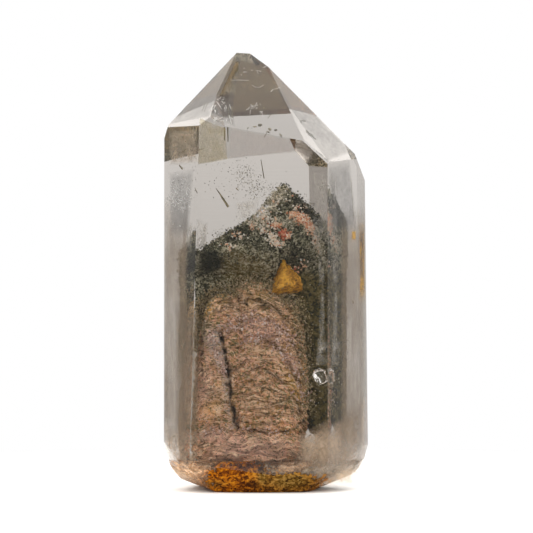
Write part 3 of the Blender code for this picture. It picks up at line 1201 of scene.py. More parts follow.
@dataclass
class ChloritePhantom:
    """The older crystal inside, felted with chlorite, with grains standing on its faces.

    Each feldspar patch has its pixel, half width, half height, number of grains and tone.
    """

    voxel: float = 0.27 * MM
    felt_depth: float = 0.35 * MM
    grain_count: int = 8600
    feldspar_share: float = 1.7
    seed: int = 11
    finish: ChloriteFinish = ChloriteFinish()
    grain_finish: GrainFinish = GrainFinish("chlorite_grains", (
        (0, (0.012, 0.015, 0.008)), (0.25, (0.055, 0.06, 0.03)), (0.45, (0.19, 0.185, 0.1)),
        (0.65, (0.54, 0.5, 0.36)), (1, (0.88, 0.81, 0.66))))
    feldspar_finish: GrainFinish = GrainFinish("feldspar_grains", (
        (0, (0.42, 0.05, 0.02)), (0.3, (0.74, 0.25, 0.13)), (0.55, (0.95, 0.56, 0.33)),
        (0.8, (0.97, 0.78, 0.6)), (1, (0.95, 0.9, 0.8))), 0.5)

    patches: tuple[tuple[float, ...], ...] = (
        (292, 214, 3, 2.5, 70, 0.7), (298, 216, 5, 4, 140, 0.68),
        (305, 220, 6.5, 4.5, 190, 0.66), (310, 228, 5, 4.5, 120, 0.66),
        (314.5, 239, 3, 5, 40, 0.8), (284, 233.5, 4.2, 4.6, 90, 0.28),
        (288, 236, 3, 3, 50, 0.75), (277, 225.5, 5, 3, 70, 0.6),
        (272, 238, 5, 5, 80, 0.97), (278, 244, 5, 3, 60, 0.95),
        (264, 231, 5, 4, 30, 0.9), (252, 227, 4, 5, 22, 0.7),
        (238, 236, 8, 4, 16, 0.85), (301, 207, 7, 4, 26, 0.85),
        (228, 246, 8, 4, 12, 0.85),
        (318, 247, 2.5, 7, 22, 0.9), (300, 266, 9, 7, 16, 0.6),
        (286, 196, 8, 8, 9, 1), (266, 220, 9, 7, 46, 1), (262, 210, 9, 8, 40, 1),
        (250, 220, 6, 5, 24, 0.9), (276, 200, 6, 8, 24, 1), (336, 232, 4, 14, 30, 0.9),
    )

    def shell(self) -> Mesh:
        """Make the felted surface of the older crystal, with where it is bare, dense, hazy or olive.

        Returns:
            The mesh.
        """
        mesh = joined((cut_block(CAP), cut_block(SHOULDER), cut_block(CURTAIN)), self.voxel)
        places = read_points(mesh)
        across, along, height = places.T / MM
        felt = ripple(places, 1.1 * MM, 4, 3)
        fine = ripple(places, 0.35 * MM, 2, 9)
        hem = CURTAIN[-1]
        down = np.array(outward(hem.azimuth, hem.tilt))
        over_hem = (places - np.array(hem.through)) @ down / MM
        ragged = bell(over_hem, 0, 1.2) * ripple(places * np.array((1, 1, 0.3)), 2.4 * MM, 3, 31) * 1.3 * MM
        places = places + down * ragged[:, None]
        rise = (felt * 0.6 + fine * 0.4)[:, None] * self.felt_depth
        move_points(mesh, places + read_points(mesh, "normal") * rise)
        front = ease(-along, -3, 0)
        patchy = ripple(places, 2.2 * MM, 3, 13)
        side = ease(across, 6.2, 8.2) * ease(-height, -46.5, -43.5)
        dense = np.clip((blotted(places, DENSE_SPOTS) + 0.35 * patchy) * front - 0.8 * side, 0, 1)
        bare = blotted(places, BARE_SPOTS)
        haze = blotted(places, HAZY_SPOTS) * front
        pale = blotted(places, PALE_SPOTS) * front + 0.55 * side - 0.4 * patchy
        olive = ease(across, 1, 5) * ease(-height, -39.5, -36)
        behind = ease(along, 0.6, 2.2) * ease(height + 3 * patchy, 34, 42)
        mark_shares(mesh, behind=behind, cover=0.93 + 0.2 * dense - 0.75 * bare, dense=dense, pale=pale,
                    haze=haze, olive=olive)
        return mesh

    def scatter(self, mesh: Mesh, rng: Chance) -> tuple[np.ndarray, np.ndarray]:
        """Pick places on the shell where grains stand, more of them high on the cap.

        Args:
            mesh: the shell.
            rng: the source of chance.

        Returns:
            The places, and each one's tone.
        """
        places = read_points(mesh)
        _, along, height = places.T / MM
        weight = ease(height, 37, 42) * (1 + 0.6 * ease(-along, -3, 3)) + 0.18
        weight *= np.clip(1 - 0.8 * blotted(places, BARE_SPOTS) - 0.7 * blotted(places, HAZY_SPOTS), 0.05, 1)
        chosen = rng.choice(len(places), self.grain_count, p=weight / weight.sum())
        spots = places[chosen] + rng.normal(scale=0.16 * MM, size=(self.grain_count, 3))
        lift = np.abs(rng.normal(scale=0.22 * MM, size=(self.grain_count, 1)))
        spots += read_points(mesh, "normal")[chosen] * lift
        dark = np.clip(blotted(spots, DENSE_SPOTS), 0, 1)
        light = np.clip(blotted(spots, PALE_SPOTS), 0, 1)
        tones = np.clip(rng.beta(1.3, 2.2, self.grain_count) * (1 - 0.85 * dark) + 0.5 * light, 0, 1)
        return spots, tones

    def feldspar(self, shell: BVHTree, rng: Chance) -> Mesh:
        """Scatter the salmon, red and cream grains that stand on the front of the cap.

        Args:
            shell: the felted surface.
            rng: the source of chance.

        Returns:
            The grains.
        """
        spots, tones, sizes = [], [], []
        for pixel_x, pixel_y, wide, tall, count, tone in self.patches:
            for _ in range(int(count * self.feldspar_share)):
                aim = seen_at(rng.normal(pixel_x, wide * 0.5), rng.normal(pixel_y, tall * 0.5), -7 * MM)
                hit = shell.ray_cast(Vector((aim.x, -HALF_DEPTH, aim.z)), FORWARD)[0]
                if hit is None:
                    continue
                spots.append(hit - FORWARD * rng.uniform(0.05, 0.9) * MM)
                tones.append(np.clip(rng.normal(tone, 0.22), 0, 1))
                sizes.append(rng.uniform(0.08, 0.27) * MM)
        return grain_mesh(np.array(spots), np.array(sizes), np.array(tones), GrainShape.LUMP, rng)

    def build(self) -> None:
        """Make the felted shell, its chlorite grains and its feldspar grains."""
        rng = np.random.default_rng(self.seed)
        mesh = self.shell()
        tree = tree_of(mesh)
        spots, tones = self.scatter(mesh, rng)
        place_piece("chlorite_phantom_shell", mesh, self.finish.material(), "chlorite_phantom",
                    True)
        grains = grain_mesh(spots, rng.uniform(0.09, 0.26, len(spots)) * MM, tones, GrainShape.FLAKE, rng)
        place_piece("chlorite_grains", grains, self.grain_finish.material())
        feldspar = self.feldspar(tree, rng)
        place_piece("feldspar_grains", feldspar, self.feldspar_finish.material())


@dataclass(frozen=True)
class Lobe:
    """One lobe of the layered mound. Its middle, half sizes and lean are in millimetres."""

    centre: Triple
    half: Triple
    pitch: float
    dome: float
    ledge: float
    blunt: float
    lean: Triple


@dataclass(frozen=True)
class Scatter:
    """Flakes scattered along a line of pixels of the photograph: how many, how wide and how large."""

    line: tuple[Pixel, ...]
    count: int
    spread: float
    smallest: float
    largest: float


@dataclass
class LayeredMound:
    """The pink-brown mound: overlapping lobes built of fine, wavy layers."""

    rows: int = 190
    segments: int = 200
    skin: float = 1 * MM
    roughness: float = 0.22 * MM
    seed: int = 23
    dust_back: float = -3.9 * MM
    flake_depth: float = -7.5 * MM
    crack_width: float = 1.9
    fold_width: float = 1.4
    sheen_width: float = 4
    dust: tuple[Scatter, ...] = (
        Scatter(((196, 336), (199, 318), (203, 302), (216, 291), (230, 291), (240, 284),
                 (256, 281), (272, 285), (284, 297), (296, 304), (303, 324), (306, 352),
                 (309, 384), (309, 412)), 3600, 4, 0.07 * MM, 0.22 * MM),
    )
    ledge_flakes: tuple[Scatter, ...] = (
        Scatter(((222, 330), (240, 322), (262, 320), (282, 330), (292, 344)), 330, 4.5,
                0.1 * MM, 0.34 * MM),
        Scatter(((240, 342), (262, 336), (284, 350), (298, 376), (304, 400)), 260, 4,
                0.1 * MM, 0.34 * MM),
        Scatter(((211, 332), (214, 347), (221, 362), (226, 374)), 170, 2.5, 0.1 * MM, 0.3 * MM),
        Scatter(((200, 432), (222, 428), (262, 430), (290, 434)), 120, 3, 0.08 * MM, 0.26 * MM),
    )
    finish: LayeredClayFinish = LayeredClayFinish()
    dust_finish: GrainFinish = GrainFinish("crown_dust", (
        (0, (0.02, 0.022, 0.01)), (0.28, (0.2, 0.17, 0.07)), (0.5, (0.52, 0.42, 0.22)),
        (0.85, (0.8, 0.62, 0.4)), (1, (0.8, 0.72, 0.58))))
    flake_finish: GrainFinish = GrainFinish("ledge_flakes", (
        (0, (0.36, 0.2, 0.13)), (0.4, (0.75, 0.48, 0.38)), (0.75, (0.95, 0.73, 0.63)),
        (1, (1, 0.9, 0.84))), 0.5)
    fracture: tuple[Pixel, ...] = (
        (221, 333), (224, 346), (226, 360), (229.5, 378), (230.5, 400), (234, 412), (236, 428))
    folds: tuple[tuple[Pixel, ...], ...] = (
        ((222, 374), (240, 367), (262, 368), (280, 379), (292, 394), (300, 414)),
        ((233, 332), (248, 320), (266, 319), (284, 331), (297, 352), (304, 382)),
        ((196, 440), (214, 431), (236, 428), (262, 433), (290, 431), (302, 422)),
        ((214, 312), (230, 305), (252, 300), (274, 308), (288, 322)),
        ((276, 344), (287, 360), (296, 382)), ((204, 320), (201, 350), (203, 380)),
        ((236, 294), (240, 300)), ((243, 299), (245, 303)), ((262, 338), (282, 350)),
    )
    mossy: tuple[Blot, ...] = (
        Blot(268, 300, 32, 12, 0.9), Blot(296, 326, 10, 20, 0.8, 20), Blot(262, 402, 22, 14, 0.5),
        Blot(301, 402, 7, 24, 0.6), Blot(222, 302, 10, 6, 0.5), Blot(272, 348, 20, 6, 0.4),
        Blot(204, 330, 6, 14, 0.5), Blot(250, 472, 40, 6, 0.5), Blot(216, 398, 10, 10, 0.4),
    )
    ochreous: tuple[Blot, ...] = (
        Blot(205, 306, 9, 16, 1.1, 25), Blot(218, 293, 9, 4, 0.9), Blot(303, 374, 5, 20, 0.7),
        Blot(233, 403, 4, 14, 0.6), Blot(291, 342, 6, 8, 0.5), Blot(285, 432, 12, 4, 0.5),
        Blot(210, 408, 12, 9, 0.5), Blot(292, 384, 5, 17, 1, -22), Blot(264, 296, 16, 5, 0.4),
    )
    # Spots of painted sheen, in pixels.
    silvery: tuple[Blot, ...] = (
        Blot(213, 342, 7, 15, 1, -12), Blot(219, 357, 6, 10, 0.8), Blot(206, 330, 4, 10, 0.4),
    )
    # Lighter patches, which also hold painted highlights, in pixels.
    blushed: tuple[Blot, ...] = (
        Blot(262, 330, 26, 9, 1, 12), Blot(296, 366, 6, 18, 0.7, -25), Blot(213, 436, 22, 6, 0.9),
        Blot(254, 446, 44, 12, 0.9), Blot(246, 314, 14, 5, 0.5), Blot(250, 358, 16, 5, 0.5),
        Blot(202, 386, 12, 34, 0.7), Blot(290, 296, 9, 4, 0.6), Blot(246, 458, 46, 10, 0.8),
    )
    lobes: tuple[Lobe, ...] = (
        Lobe((-1, -3.7, 18.3), (7.9, 5.6, 17.5), 1.25 * MM, 0.05, 0.5 * MM, 2.05, (-1.2, 0.5, 0)),
        Lobe((-8.3, -6, 17.6), (4, 3.9, 15.9), 1.1 * MM, 0.06, 0.35 * MM, 3, (1.2, 0.4, 0)),
        Lobe((3.5, -2.8, 22.8), (3.4, 3.8, 10.3), 1.2 * MM, 0.06, 0.45 * MM, 2.1, (-0.2, 0.3, 0)),
        Lobe((-2.4, -4.5, 7.2), (9.3, 6.1, 3.6), 0.9 * MM, 0.012, 0.28 * MM, 2.7, (0, 0.3, 0)),
    )

    def under_skin(self, place: Vector) -> Vector:
        """Pull a point in until clear quartz covers it on every side.

        Args:
            place: the point.

        Returns:
            The point, moved level if it had to be.
        """
        for facet in (*PRISM.values(), *BASE_WEAR):
            normal = outward(facet.azimuth, facet.tilt)
            excess = (place - facet.through).dot(normal) + self.skin
            if excess > 0:
                level = Vector((normal.x, normal.y, 0))
                place = place - level * (excess / level.length_squared)
        return place

    def lobe_mesh(self, lobe: Lobe, share: float) -> BMesh:
        """Make one lobe: a blunt dome whose side steps in at each layer.

        Args:
            lobe: its sizes.
            share: its share of the full mesh density.

        Returns:
            The lobe, with its point numbers in the layers root, which marks where each layer's root takes
            painted shade, and phase.
        """
        bm = bmesh.new()
        turns, rows = int(self.segments * share), int(self.rows * share)
        bmesh.ops.create_uvsphere(bm, u_segments=turns, v_segments=rows, radius=1)
        root = bm.verts.layers.float.new("root")
        layer = bm.verts.layers.float.new("phase")
        centre, half, lean = (Vector(item) * MM for item in (lobe.centre, lobe.half, lobe.lean))
        for vert in bm.verts:
            way = vert.co.normalized()
            bulge = sum(abs(side) ** lobe.blunt for side in way) ** (-1 / lobe.blunt)
            place = Vector((way.x * half.x, way.y * half.y, way.z * half.z)) * bulge
            wave = noise.fractal(place / (3.2 * MM), 1, 2, 3) * 0.9 * MM
            phase = (place.z + lobe.dome / MM * place.x * place.x + wave) / lobe.pitch
            step = phase - math.floor(phase)
            fine = noise.fractal(Vector((place.x, place.y, phase * lobe.pitch * 2)) / (0.8 * MM), 0.8, 2, 3)
            sunk = lobe.ledge * (0.5 - step) + self.roughness * fine
            sunk = sunk + 0.35 * MM * noise.noise(place / (1.9 * MM))
            level = Vector((way.x, way.y, 0.35 * way.z))
            # 1 at a layer's root, fading up the layer: where the material paints shade.
            vert[root] = 1 - min(1, step * 1.6)
            vert[layer] = phase
            vert.co = self.under_skin(centre + place + level * sunk + lean * (place.z / half.z))
        return bm

    def scattered(self, tree: BVHTree, scatter: Scatter, rng: Chance) -> Mesh:
        """Lay flakes on the mound along a line, and on the phantom where the line leaves the mound.

        Args:
            tree: the mound's surface.
            scatter: where the flakes go, and how many.
            rng: the source of chance.

        Returns:
            The flakes.
        """
        spots = []
        for _ in range(scatter.count):
            index = rng.integers(len(scatter.line) - 1)
            share = rng.uniform()
            pixel = [start + (end - start) * share + rng.normal(0, scatter.spread)
                     for start, end in zip(scatter.line[index], scatter.line[index + 1])]
            aim = seen_at(*pixel, self.flake_depth)
            hit = tree.ray_cast(Vector((aim.x, -HALF_DEPTH, aim.z)), FORWARD)[0]
            spots.append((hit or Vector((aim.x, self.dust_back, aim.z))) - FORWARD * rng.uniform(0, 0.3) * MM)
        sizes = rng.uniform(scatter.smallest, scatter.largest, len(spots))
        return grain_mesh(np.array(spots), sizes, rng.beta(1.6, 1.7, len(spots)), GrainShape.FLAKE, rng)

    def build(self) -> None:
        """Make the lobes as one piece that stands for the CAD mound."""
        whole = bmesh.new()
        for index, lobe in enumerate(self.lobes):
            part = mesh_of(self.lobe_mesh(lobe, 1 if index == 0 else 0.62), "lobe")
            whole.from_mesh(part)
            bpy.data.meshes.remove(part)
        bmesh.ops.recalc_face_normals(whole, faces=whole.faces)
        mesh = mesh_of(whole, "mound")
        places = read_points(mesh)
        across, along, height = places.T / MM
        front = ease(-along, 3, 5)
        spread = ripple(places, 1.3 * MM, 3, 21)
        stray = 3.2 * ripple(places, 0.9 * MM, 3, 41)
        # The fracture and the fold lines are pushed back and marked for painted shade.
        deep = traced(places, self.fracture, self.crack_width, stray) * front
        deep = deep * np.clip(0.9 + 1.2 * spread, 0.3, 1)
        folds = sum(traced(places, line, self.fold_width, stray) for line in self.folds) * front
        # A band just left of the fracture gets a painted sheen.
        left_of = [(x - self.sheen_width, y) for x, y in self.fracture]
        sheen_beside_fracture = traced(places, left_of, self.sheen_width, stray) * front
        folds = np.clip(folds * (0.8 + 0.9 * spread), 0, 1)
        move_points(mesh, places + np.stack([0 * deep, (0.9 * deep + 0.4 * folds) * MM, 0 * deep], axis=1))
        moss = blotted(places, self.mossy) + ease(along, -5.5, -3.5) * ease(-across, 5, 8) + 0.4 * spread
        ochre = blotted(places, self.ochreous) + 0.35 * ease(-height, -7, -5) + 0.3 * spread
        # The blush mark, last here, holds lighter patches and painted highlights.
        mark_shares(mesh, crack=1.2 * deep + 0.6 * folds, ochre=ochre, moss=moss,
                    silver=blotted(places, self.silvery) + 0.8 * sheen_beside_fracture,
                    blush=blotted(places, self.blushed) + 0.5 * spread)
        tree = tree_of(mesh)
        rng = np.random.default_rng(self.seed)
        dust = [self.scattered(tree, scatter, rng) for scatter in self.dust]
        flakes = [self.scattered(tree, scatter, rng) for scatter in self.ledge_flakes]
        place_piece("layered_mound_lobes", mesh, self.finish.material(), "layered_mound",
                    True)
        place_piece("crown_dust", joined_plainly(dust), self.dust_finish.material())
        place_piece("ledge_flakes", joined_plainly(flakes), self.flake_finish.material())


@dataclass
class OchreCrystal:
    """The small ochre pointed crystal on the mound's right shoulder."""

    voxel: float = 0.16 * MM
    finish: OchreFinish = OchreFinish("ochre", (0.1, 0.04, 0.005), (0.52, 0.24, 0.02), (0.85, 0.47, 0.05),
                                      0.3)

    def build(self) -> None:
        """Make the crystal and let it stand for its CAD node."""
        mesh = joined((cut_block(OCHRE),), self.voxel)
        places = read_points(mesh)
        layered = ripple(places * np.array((1, 1, 2.4)), 0.6 * MM, 2)
        lumps = ripple(places, 1.2 * MM, 3, 5) * 0.3 + layered * 0.2
        move_points(mesh, places + read_points(mesh, "normal") * (lumps[:, None] - 0.15) * 0.8 * MM)
        place_piece("ochre_point", mesh, self.finish.material(), "ochre_crystal", True)


@dataclass
class RustCrust:
    """The rusty, iron-stained crust in the mouth of the hollow at the base."""

    centre: Vector = at_mm(-1, -0.6, 0)
    half_width: float = 6.2 * MM
    half_depth: float = 5 * MM
    height: float = 3.7 * MM
    segments: int = 120
    rows: int = 70
    finish: OchreFinish = OchreFinish("limonite", (0.17, 0.06, 0.01), (0.6, 0.25, 0.02), (0.85, 0.42, 0.06))

    def build(self) -> None:
        """Make the crust and let it stand for its CAD node."""
        bm = bmesh.new()
        bmesh.ops.create_uvsphere(bm, u_segments=self.segments, v_segments=self.rows, radius=1)
        for vert in bm.verts:
            way = vert.co.normalized()
            turn = math.atan2(way.y, way.x)
            flat = math.hypot(way.x, way.y)
            rim = 1 + 0.07 * math.sin(3 * turn + 0.4) + 0.05 * math.sin(5 * turn + 1.9)
            spread = min(1, flat * 1.25) * rim
            place = Vector((self.half_width * spread * way.x / max(flat, 1e-6),
                            self.half_depth * spread * way.y / max(flat, 1e-6), 0))
            if flat < 1e-4:
                place = Vector((0, 0, 0))
            lump = noise.fractal(place / (1.1 * MM), 1, 2, 4)
            if way.z > 0:
                place.z = self.height - 0.9 * MM * flat ** 3 - 0.45 * MM * abs(lump)
            vert.co = self.centre + place * (1 - 0.03 * abs(lump))
        bmesh.ops.recalc_face_normals(bm, faces=bm.faces)
        place_piece("rust_crust_plug", mesh_of(bm, "crust"), self.finish.material(),
                    "rust_crust", True)


def joined_plainly(parts: Sequence[Mesh]) -> Mesh:
    """Put several meshes in one, and remove them.

    Args:
        parts: the meshes.

    Returns:
        The one mesh.
    """
    bm = bmesh.new()
    for part in parts:
        bm.from_mesh(part)
        bpy.data.meshes.remove(part)
    return mesh_of(bm, "joined")


def sliver_mesh(paths: Sequence[Sequence[tuple[Vector, float]]]) -> Mesh:
    """Make thin, tapering slivers along short paths.

    Args:
        paths: for each sliver, its points and its radius at each.

    Returns:
        The slivers in one mesh.
    """
    bm = bmesh.new()
    for path in paths:
        for (start, start_radius), (end, end_radius) in zip(path, path[1:]):
            way = end - start
            turn = UP.rotation_difference(way).to_matrix().to_4x4()
            frame_matrix = Matrix.Translation((start + end) / 2) @ turn
            bmesh.ops.create_cone(bm, cap_ends=True, cap_tris=True, segments=6, radius1=start_radius,
                                  radius2=end_radius, depth=way.length * 1.02, matrix=frame_matrix)
    return mesh_of(bm, "slivers")


def pixel_sheet(corners: Sequence[Pixel], place_of: Callable[[float, float, float], Vector],
                bow: float, soft: float, fineness: int = 36, thickness: float = 0.04 * MM) -> Mesh:
    """Make a thin sheet that shows between four pixels of the photograph, with the mark fade.

    Args:
        corners: its top left, top right, bottom right and bottom left pixels.
        place_of: gives the place for a pixel and the share of the way to the right.
        bow: how far its surface wanders.
        soft: the share of its half size over which it fades.
        fineness: how many cells it has each way.
        thickness: its thickness.

    Returns:
        The sheet, closed round its edges.
    """
    bm = bmesh.new()
    bmesh.ops.create_grid(bm, x_segments=fineness, y_segments=fineness, size=1)
    fade = bm.verts.layers.float.new("fade")
    top_left, top_right, low_right, low_left = (np.array(corner) for corner in corners)
    for vert in bm.verts:
        right, up = (vert.co.x + 1) / 2, (vert.co.y + 1) / 2
        vert[fade] = min(1, (1 - max(abs(vert.co.x), abs(vert.co.y))) / soft)
        pixel = (low_left * (1 - right) + low_right * right) * (1 - up)
        pixel = pixel + (top_left * (1 - right) + top_right * right) * up
        place = place_of(pixel[0], pixel[1], right)
        vert.co = place + FORWARD * bow * noise.fractal(place / (4 * MM), 1, 2, 3)
    bmesh.ops.recalc_face_normals(bm, faces=bm.faces)
    bmesh.ops.solidify(bm, geom=bm.faces[:], thickness=thickness)
    bmesh.ops.recalc_face_normals(bm, faces=bm.faces)
    return mesh_of(bm, "sheet")


@dataclass(frozen=True)
class Veil:
    """One film inside the quartz, by the four pixels that it shows between and how deep its two sides lie."""

    corners: tuple[Pixel, ...]
    left_depth: float
    right_depth: float
    bow: float = 0.3 * MM
    soft: float = 0.4

    def mesh(self) -> Mesh:
        """Make the film.

        Returns:
            The mesh.
        """
        def place_of(pixel_x: float, pixel_y: float, right: float) -> Vector:
            """Find a place of the film from its pixel and the share of the way to the right."""
            return seen_at(pixel_x, pixel_y, self.left_depth * (1 - right) + self.right_depth * right)

        return pixel_sheet(self.corners, place_of, self.bow, self.soft)


def place_films(name: str, films: Sequence[Union[Veil, "Film"]], finish: VeilFinish) -> None:
    """Put films of one kind in the scene as one piece.

    Args:
        name: the piece's name.
        films: the films.
        finish: their finish.
    """
    mesh = joined_plainly([film.mesh() for film in films])
    place_piece(name, mesh, finish.material(), None, True)


@dataclass
class Veils:
    """Healed fractures, haze and stains that hang in the clear quartz."""

    pale: tuple[Veil, ...] = (
        Veil(((318, 250), (325, 250), (325, 350), (319, 350)), -6.6 * MM, -5.6 * MM, 0.2 * MM, 0.6),
        Veil(((317, 338), (331, 340), (330, 366), (315, 366)), -6.6 * MM, -6 * MM, 0.3 * MM, 0.6),
        Veil(((196, 218), (208, 222), (206, 250), (196, 250)), -4 * MM, -5.6 * MM),
        Veil(((234, 203), (262, 196), (256, 214), (236, 224)), -7.6 * MM, -7 * MM),
        Veil(((312, 166), (329, 168), (329, 246), (312, 240)), -8 * MM, -6.6 * MM, 0.2 * MM, 0.6),
    )
    hazy: tuple[Veil, ...] = (
        Veil(((167, 196), (190, 196), (190, 470), (168, 440)), -4.4 * MM, -10.6 * MM, 0.3 * MM, 0.3),
        Veil(((338, 205), (366, 205), (366, 466), (338, 466)), -8.6 * MM, -1.8 * MM, 0.3 * MM, 0.3),
        Veil(((176, 300), (199, 300), (198, 450), (178, 450)), -8.4 * MM, -11 * MM, 0.2 * MM, 0.4),
    )
    cloud: tuple[Veil, ...] = (
        Veil(((296, 436), (366, 396), (366, 486), (282, 486)), -8.6 * MM, -2.6 * MM, 0.6 * MM, 0.35),
        Veil(((300, 440), (352, 412), (356, 488), (286, 488)), -9.8 * MM, -6 * MM, 0.5 * MM, 0.35),
        Veil(((166, 424), (204, 430), (200, 484), (172, 480)), -5.4 * MM, -9.6 * MM, 0.5 * MM, 0.4),
    )

    def build(self) -> None:
        """Make the films, each kind as one piece."""
        kinds = (
            ("pale_veils", self.pale, VeilFinish("pale_veil", (0.6, 0.57, 0.5), 700, 0.4, 0.6, 0.6,
                                                 (1, 1, 0.4), 0.6)),
            ("haze_veils", self.hazy, VeilFinish("haze_veil", (0.27, 0.185, 0.095), 240, 0.1, 0.75, 0.7,
                                                 (1, 1, 0.25), 0.15, 0.1)),
            ("cloud_veils", self.cloud, VeilFinish("cloud_veil", (0.66, 0.5, 0.34), 360, 0.2, 0.62, 0.75,
                                                   (1, 1, 1), 0.4, 0.1)),
        )
        for name, veils, finish in kinds:
            place_films(name, veils, finish)


@dataclass(frozen=True)
class Film:
    """A film just under one face of the crystal, by the four pixels that it shows between."""

    face: Facet
    corners: tuple[Pixel, ...]
    under: float = 0.25 * MM
    soft: float = 0.1

    def mesh(self) -> Mesh:
        """Make the film.

        Returns:
            The mesh, with the mark fade.
        """
        def place_of(pixel_x: float, pixel_y: float, _: float) -> Vector:
            """Find a place of the film from its pixel."""
            return under_face(self.face, pixel_x, pixel_y, self.under)

        return pixel_sheet(self.corners, place_of, 0, self.soft)


@dataclass
class Films:
    """Faint stains and clouds close under the faces of the crystal, and bluish-grey films that paint the
    bluish sheen of two prism faces.
    """

    yellow: tuple[Film, ...] = (
        Film(PRISM["front"], ((199.5, 117.5), (226, 128.5), (227.5, 159.5), (198, 165)), 0.2 * MM, 0.06),
    )
    pink: tuple[Film, ...] = (
        Film(PRISM["front"], ((229, 128.5), (303, 142.5), (296, 152.5), (229, 158.5)), 0.2 * MM, 0.06),
    )
    brown: tuple[Film, ...] = (
        Film(PRISM["front"], ((291, 141), (304.5, 142.5), (326, 163), (309, 166)), 0.2 * MM, 0.12),
        Film(POINT["front"], ((240, 62), (262, 62), (268, 78), (240, 82)), 0.6 * MM, 0.5),
        Film(POINT["left"], ((222, 75), (236, 62), (228, 92), (206, 100)), 0.4 * MM, 0.5),
    )
    smoke: tuple[Film, ...] = (
        Film(POINT["front"], ((240, 58), (266, 66), (289, 108), (231, 112)), 0.5 * MM, 0.08),
        Film(POINT["left"], ((234, 58), (239, 60), (222, 92), (190, 102)), 0.4 * MM, 0.15),
        Film(POINT["right"], ((270, 71), (274, 74), (312, 110), (291, 106)), 0.4 * MM, 0.15),
    )
    grey: tuple[Film, ...] = (
        Film(POINT["right"], ((288, 104), (310, 109), (353, 152), (328, 161)), 0.4 * MM, 0.1),
        Film(POINT["left"], ((184, 104), (216, 92), (209, 116), (168, 124)), 0.4 * MM, 0.1),
        Film(POINT["front"], ((212, 94), (232, 94), (236, 127), (211, 115)), 0.5 * MM, 0.4),
    )
    tan: tuple[Film, ...] = (
        Film(PRISM["front_left"], ((168, 131), (197, 128), (199, 163), (168, 166)), 0.3 * MM, 0.3),
    )
    # Bluish-grey films where the side prism faces show a bluish sheen: a painted reflection.
    cool_sheen: tuple[Film, ...] = (
        Film(PRISM["front_right"], ((329, 163), (351, 158), (359, 232), (329, 232)), 0.5 * MM, 0.25),
        Film(PRISM["front_left"], ((168, 172), (193, 168), (188, 236), (168, 236)), 0.5 * MM, 0.25),
    )
    orange: tuple[Film, ...] = (
        Film(PRISM["front_right"], ((359.5, 222), (365, 222), (366, 302), (360, 302)), 0.3 * MM, 0.6),
        Film(PRISM["front_right"], ((352, 230), (357, 230), (357, 241), (352, 241)), 0.4 * MM, 0.6),
    )

    def build(self) -> None:
        """Make the films, each colour as one piece."""
        kinds = (
            ("yellow_film", self.yellow, (0.42, 0.3, 0.02), 620, 0.2, 0.7, 0.52, 0.4, 0.3),
            ("tan_film", self.tan, (0.5, 0.38, 0.24), 420, 0.3, 0.6, 0.55, 0.4, 0.3),
            ("pink_film", self.pink, (0.6, 0.42, 0.34), 300, 0, 0.7, 0.12, 0.1, 0.3),
            ("brown_films", self.brown, (0.12, 0.08, 0.04), 420, 0.2, 0.7, 0.6, 0.4, 0.1),
            ("smoky_films", self.smoke, (0.12, 0.07, 0.012), 300, 0, 0.65, 0.75, 0.2, 0.02),
            ("grey_films", self.grey, (0.08, 0.066, 0.045), 420, 0.1, 0.65, 0.5, 0.4, 0.05),
            ("cool_films", self.cool_sheen, (0.11, 0.113, 0.115), 260, -0.2, 0.6, 0.31, 0.3, 0.05),
            ("orange_films", self.orange, (0.8, 0.45, 0.03), 520, 0.1, 0.5, 0.95, 0.3, 0.05),
        )
        for name, films, colour, patch, low, high, most, grain, specks in kinds:
            finish = VeilFinish(name, colour, patch, low, high, most, (1, 1, 0.8), grain, specks)
            place_films(name, films, finish)


def trimmed(mesh: Mesh, shown: np.ndarray, thickness: float) -> Mesh:
    """Keep the faces of a layer that show, as a thin closed skin.

    Args:
        mesh: the layer, which this uses up.
        shown: how much each point shows.
        thickness: the skin's thickness.

    Returns:
        The skin.
    """
    bm = bmesh.new()
    bm.from_mesh(mesh)
    bpy.data.meshes.remove(mesh)
    bare = [face for face in bm.faces if max(shown[vert.index] for vert in face.verts) < 0.01]
    bmesh.ops.delete(bm, geom=bare, context="FACES")
    bmesh.ops.solidify(bm, geom=bm.faces[:], thickness=thickness)
    bmesh.ops.recalc_face_normals(bm, faces=bm.faces)
    return mesh_of(bm, "skin")


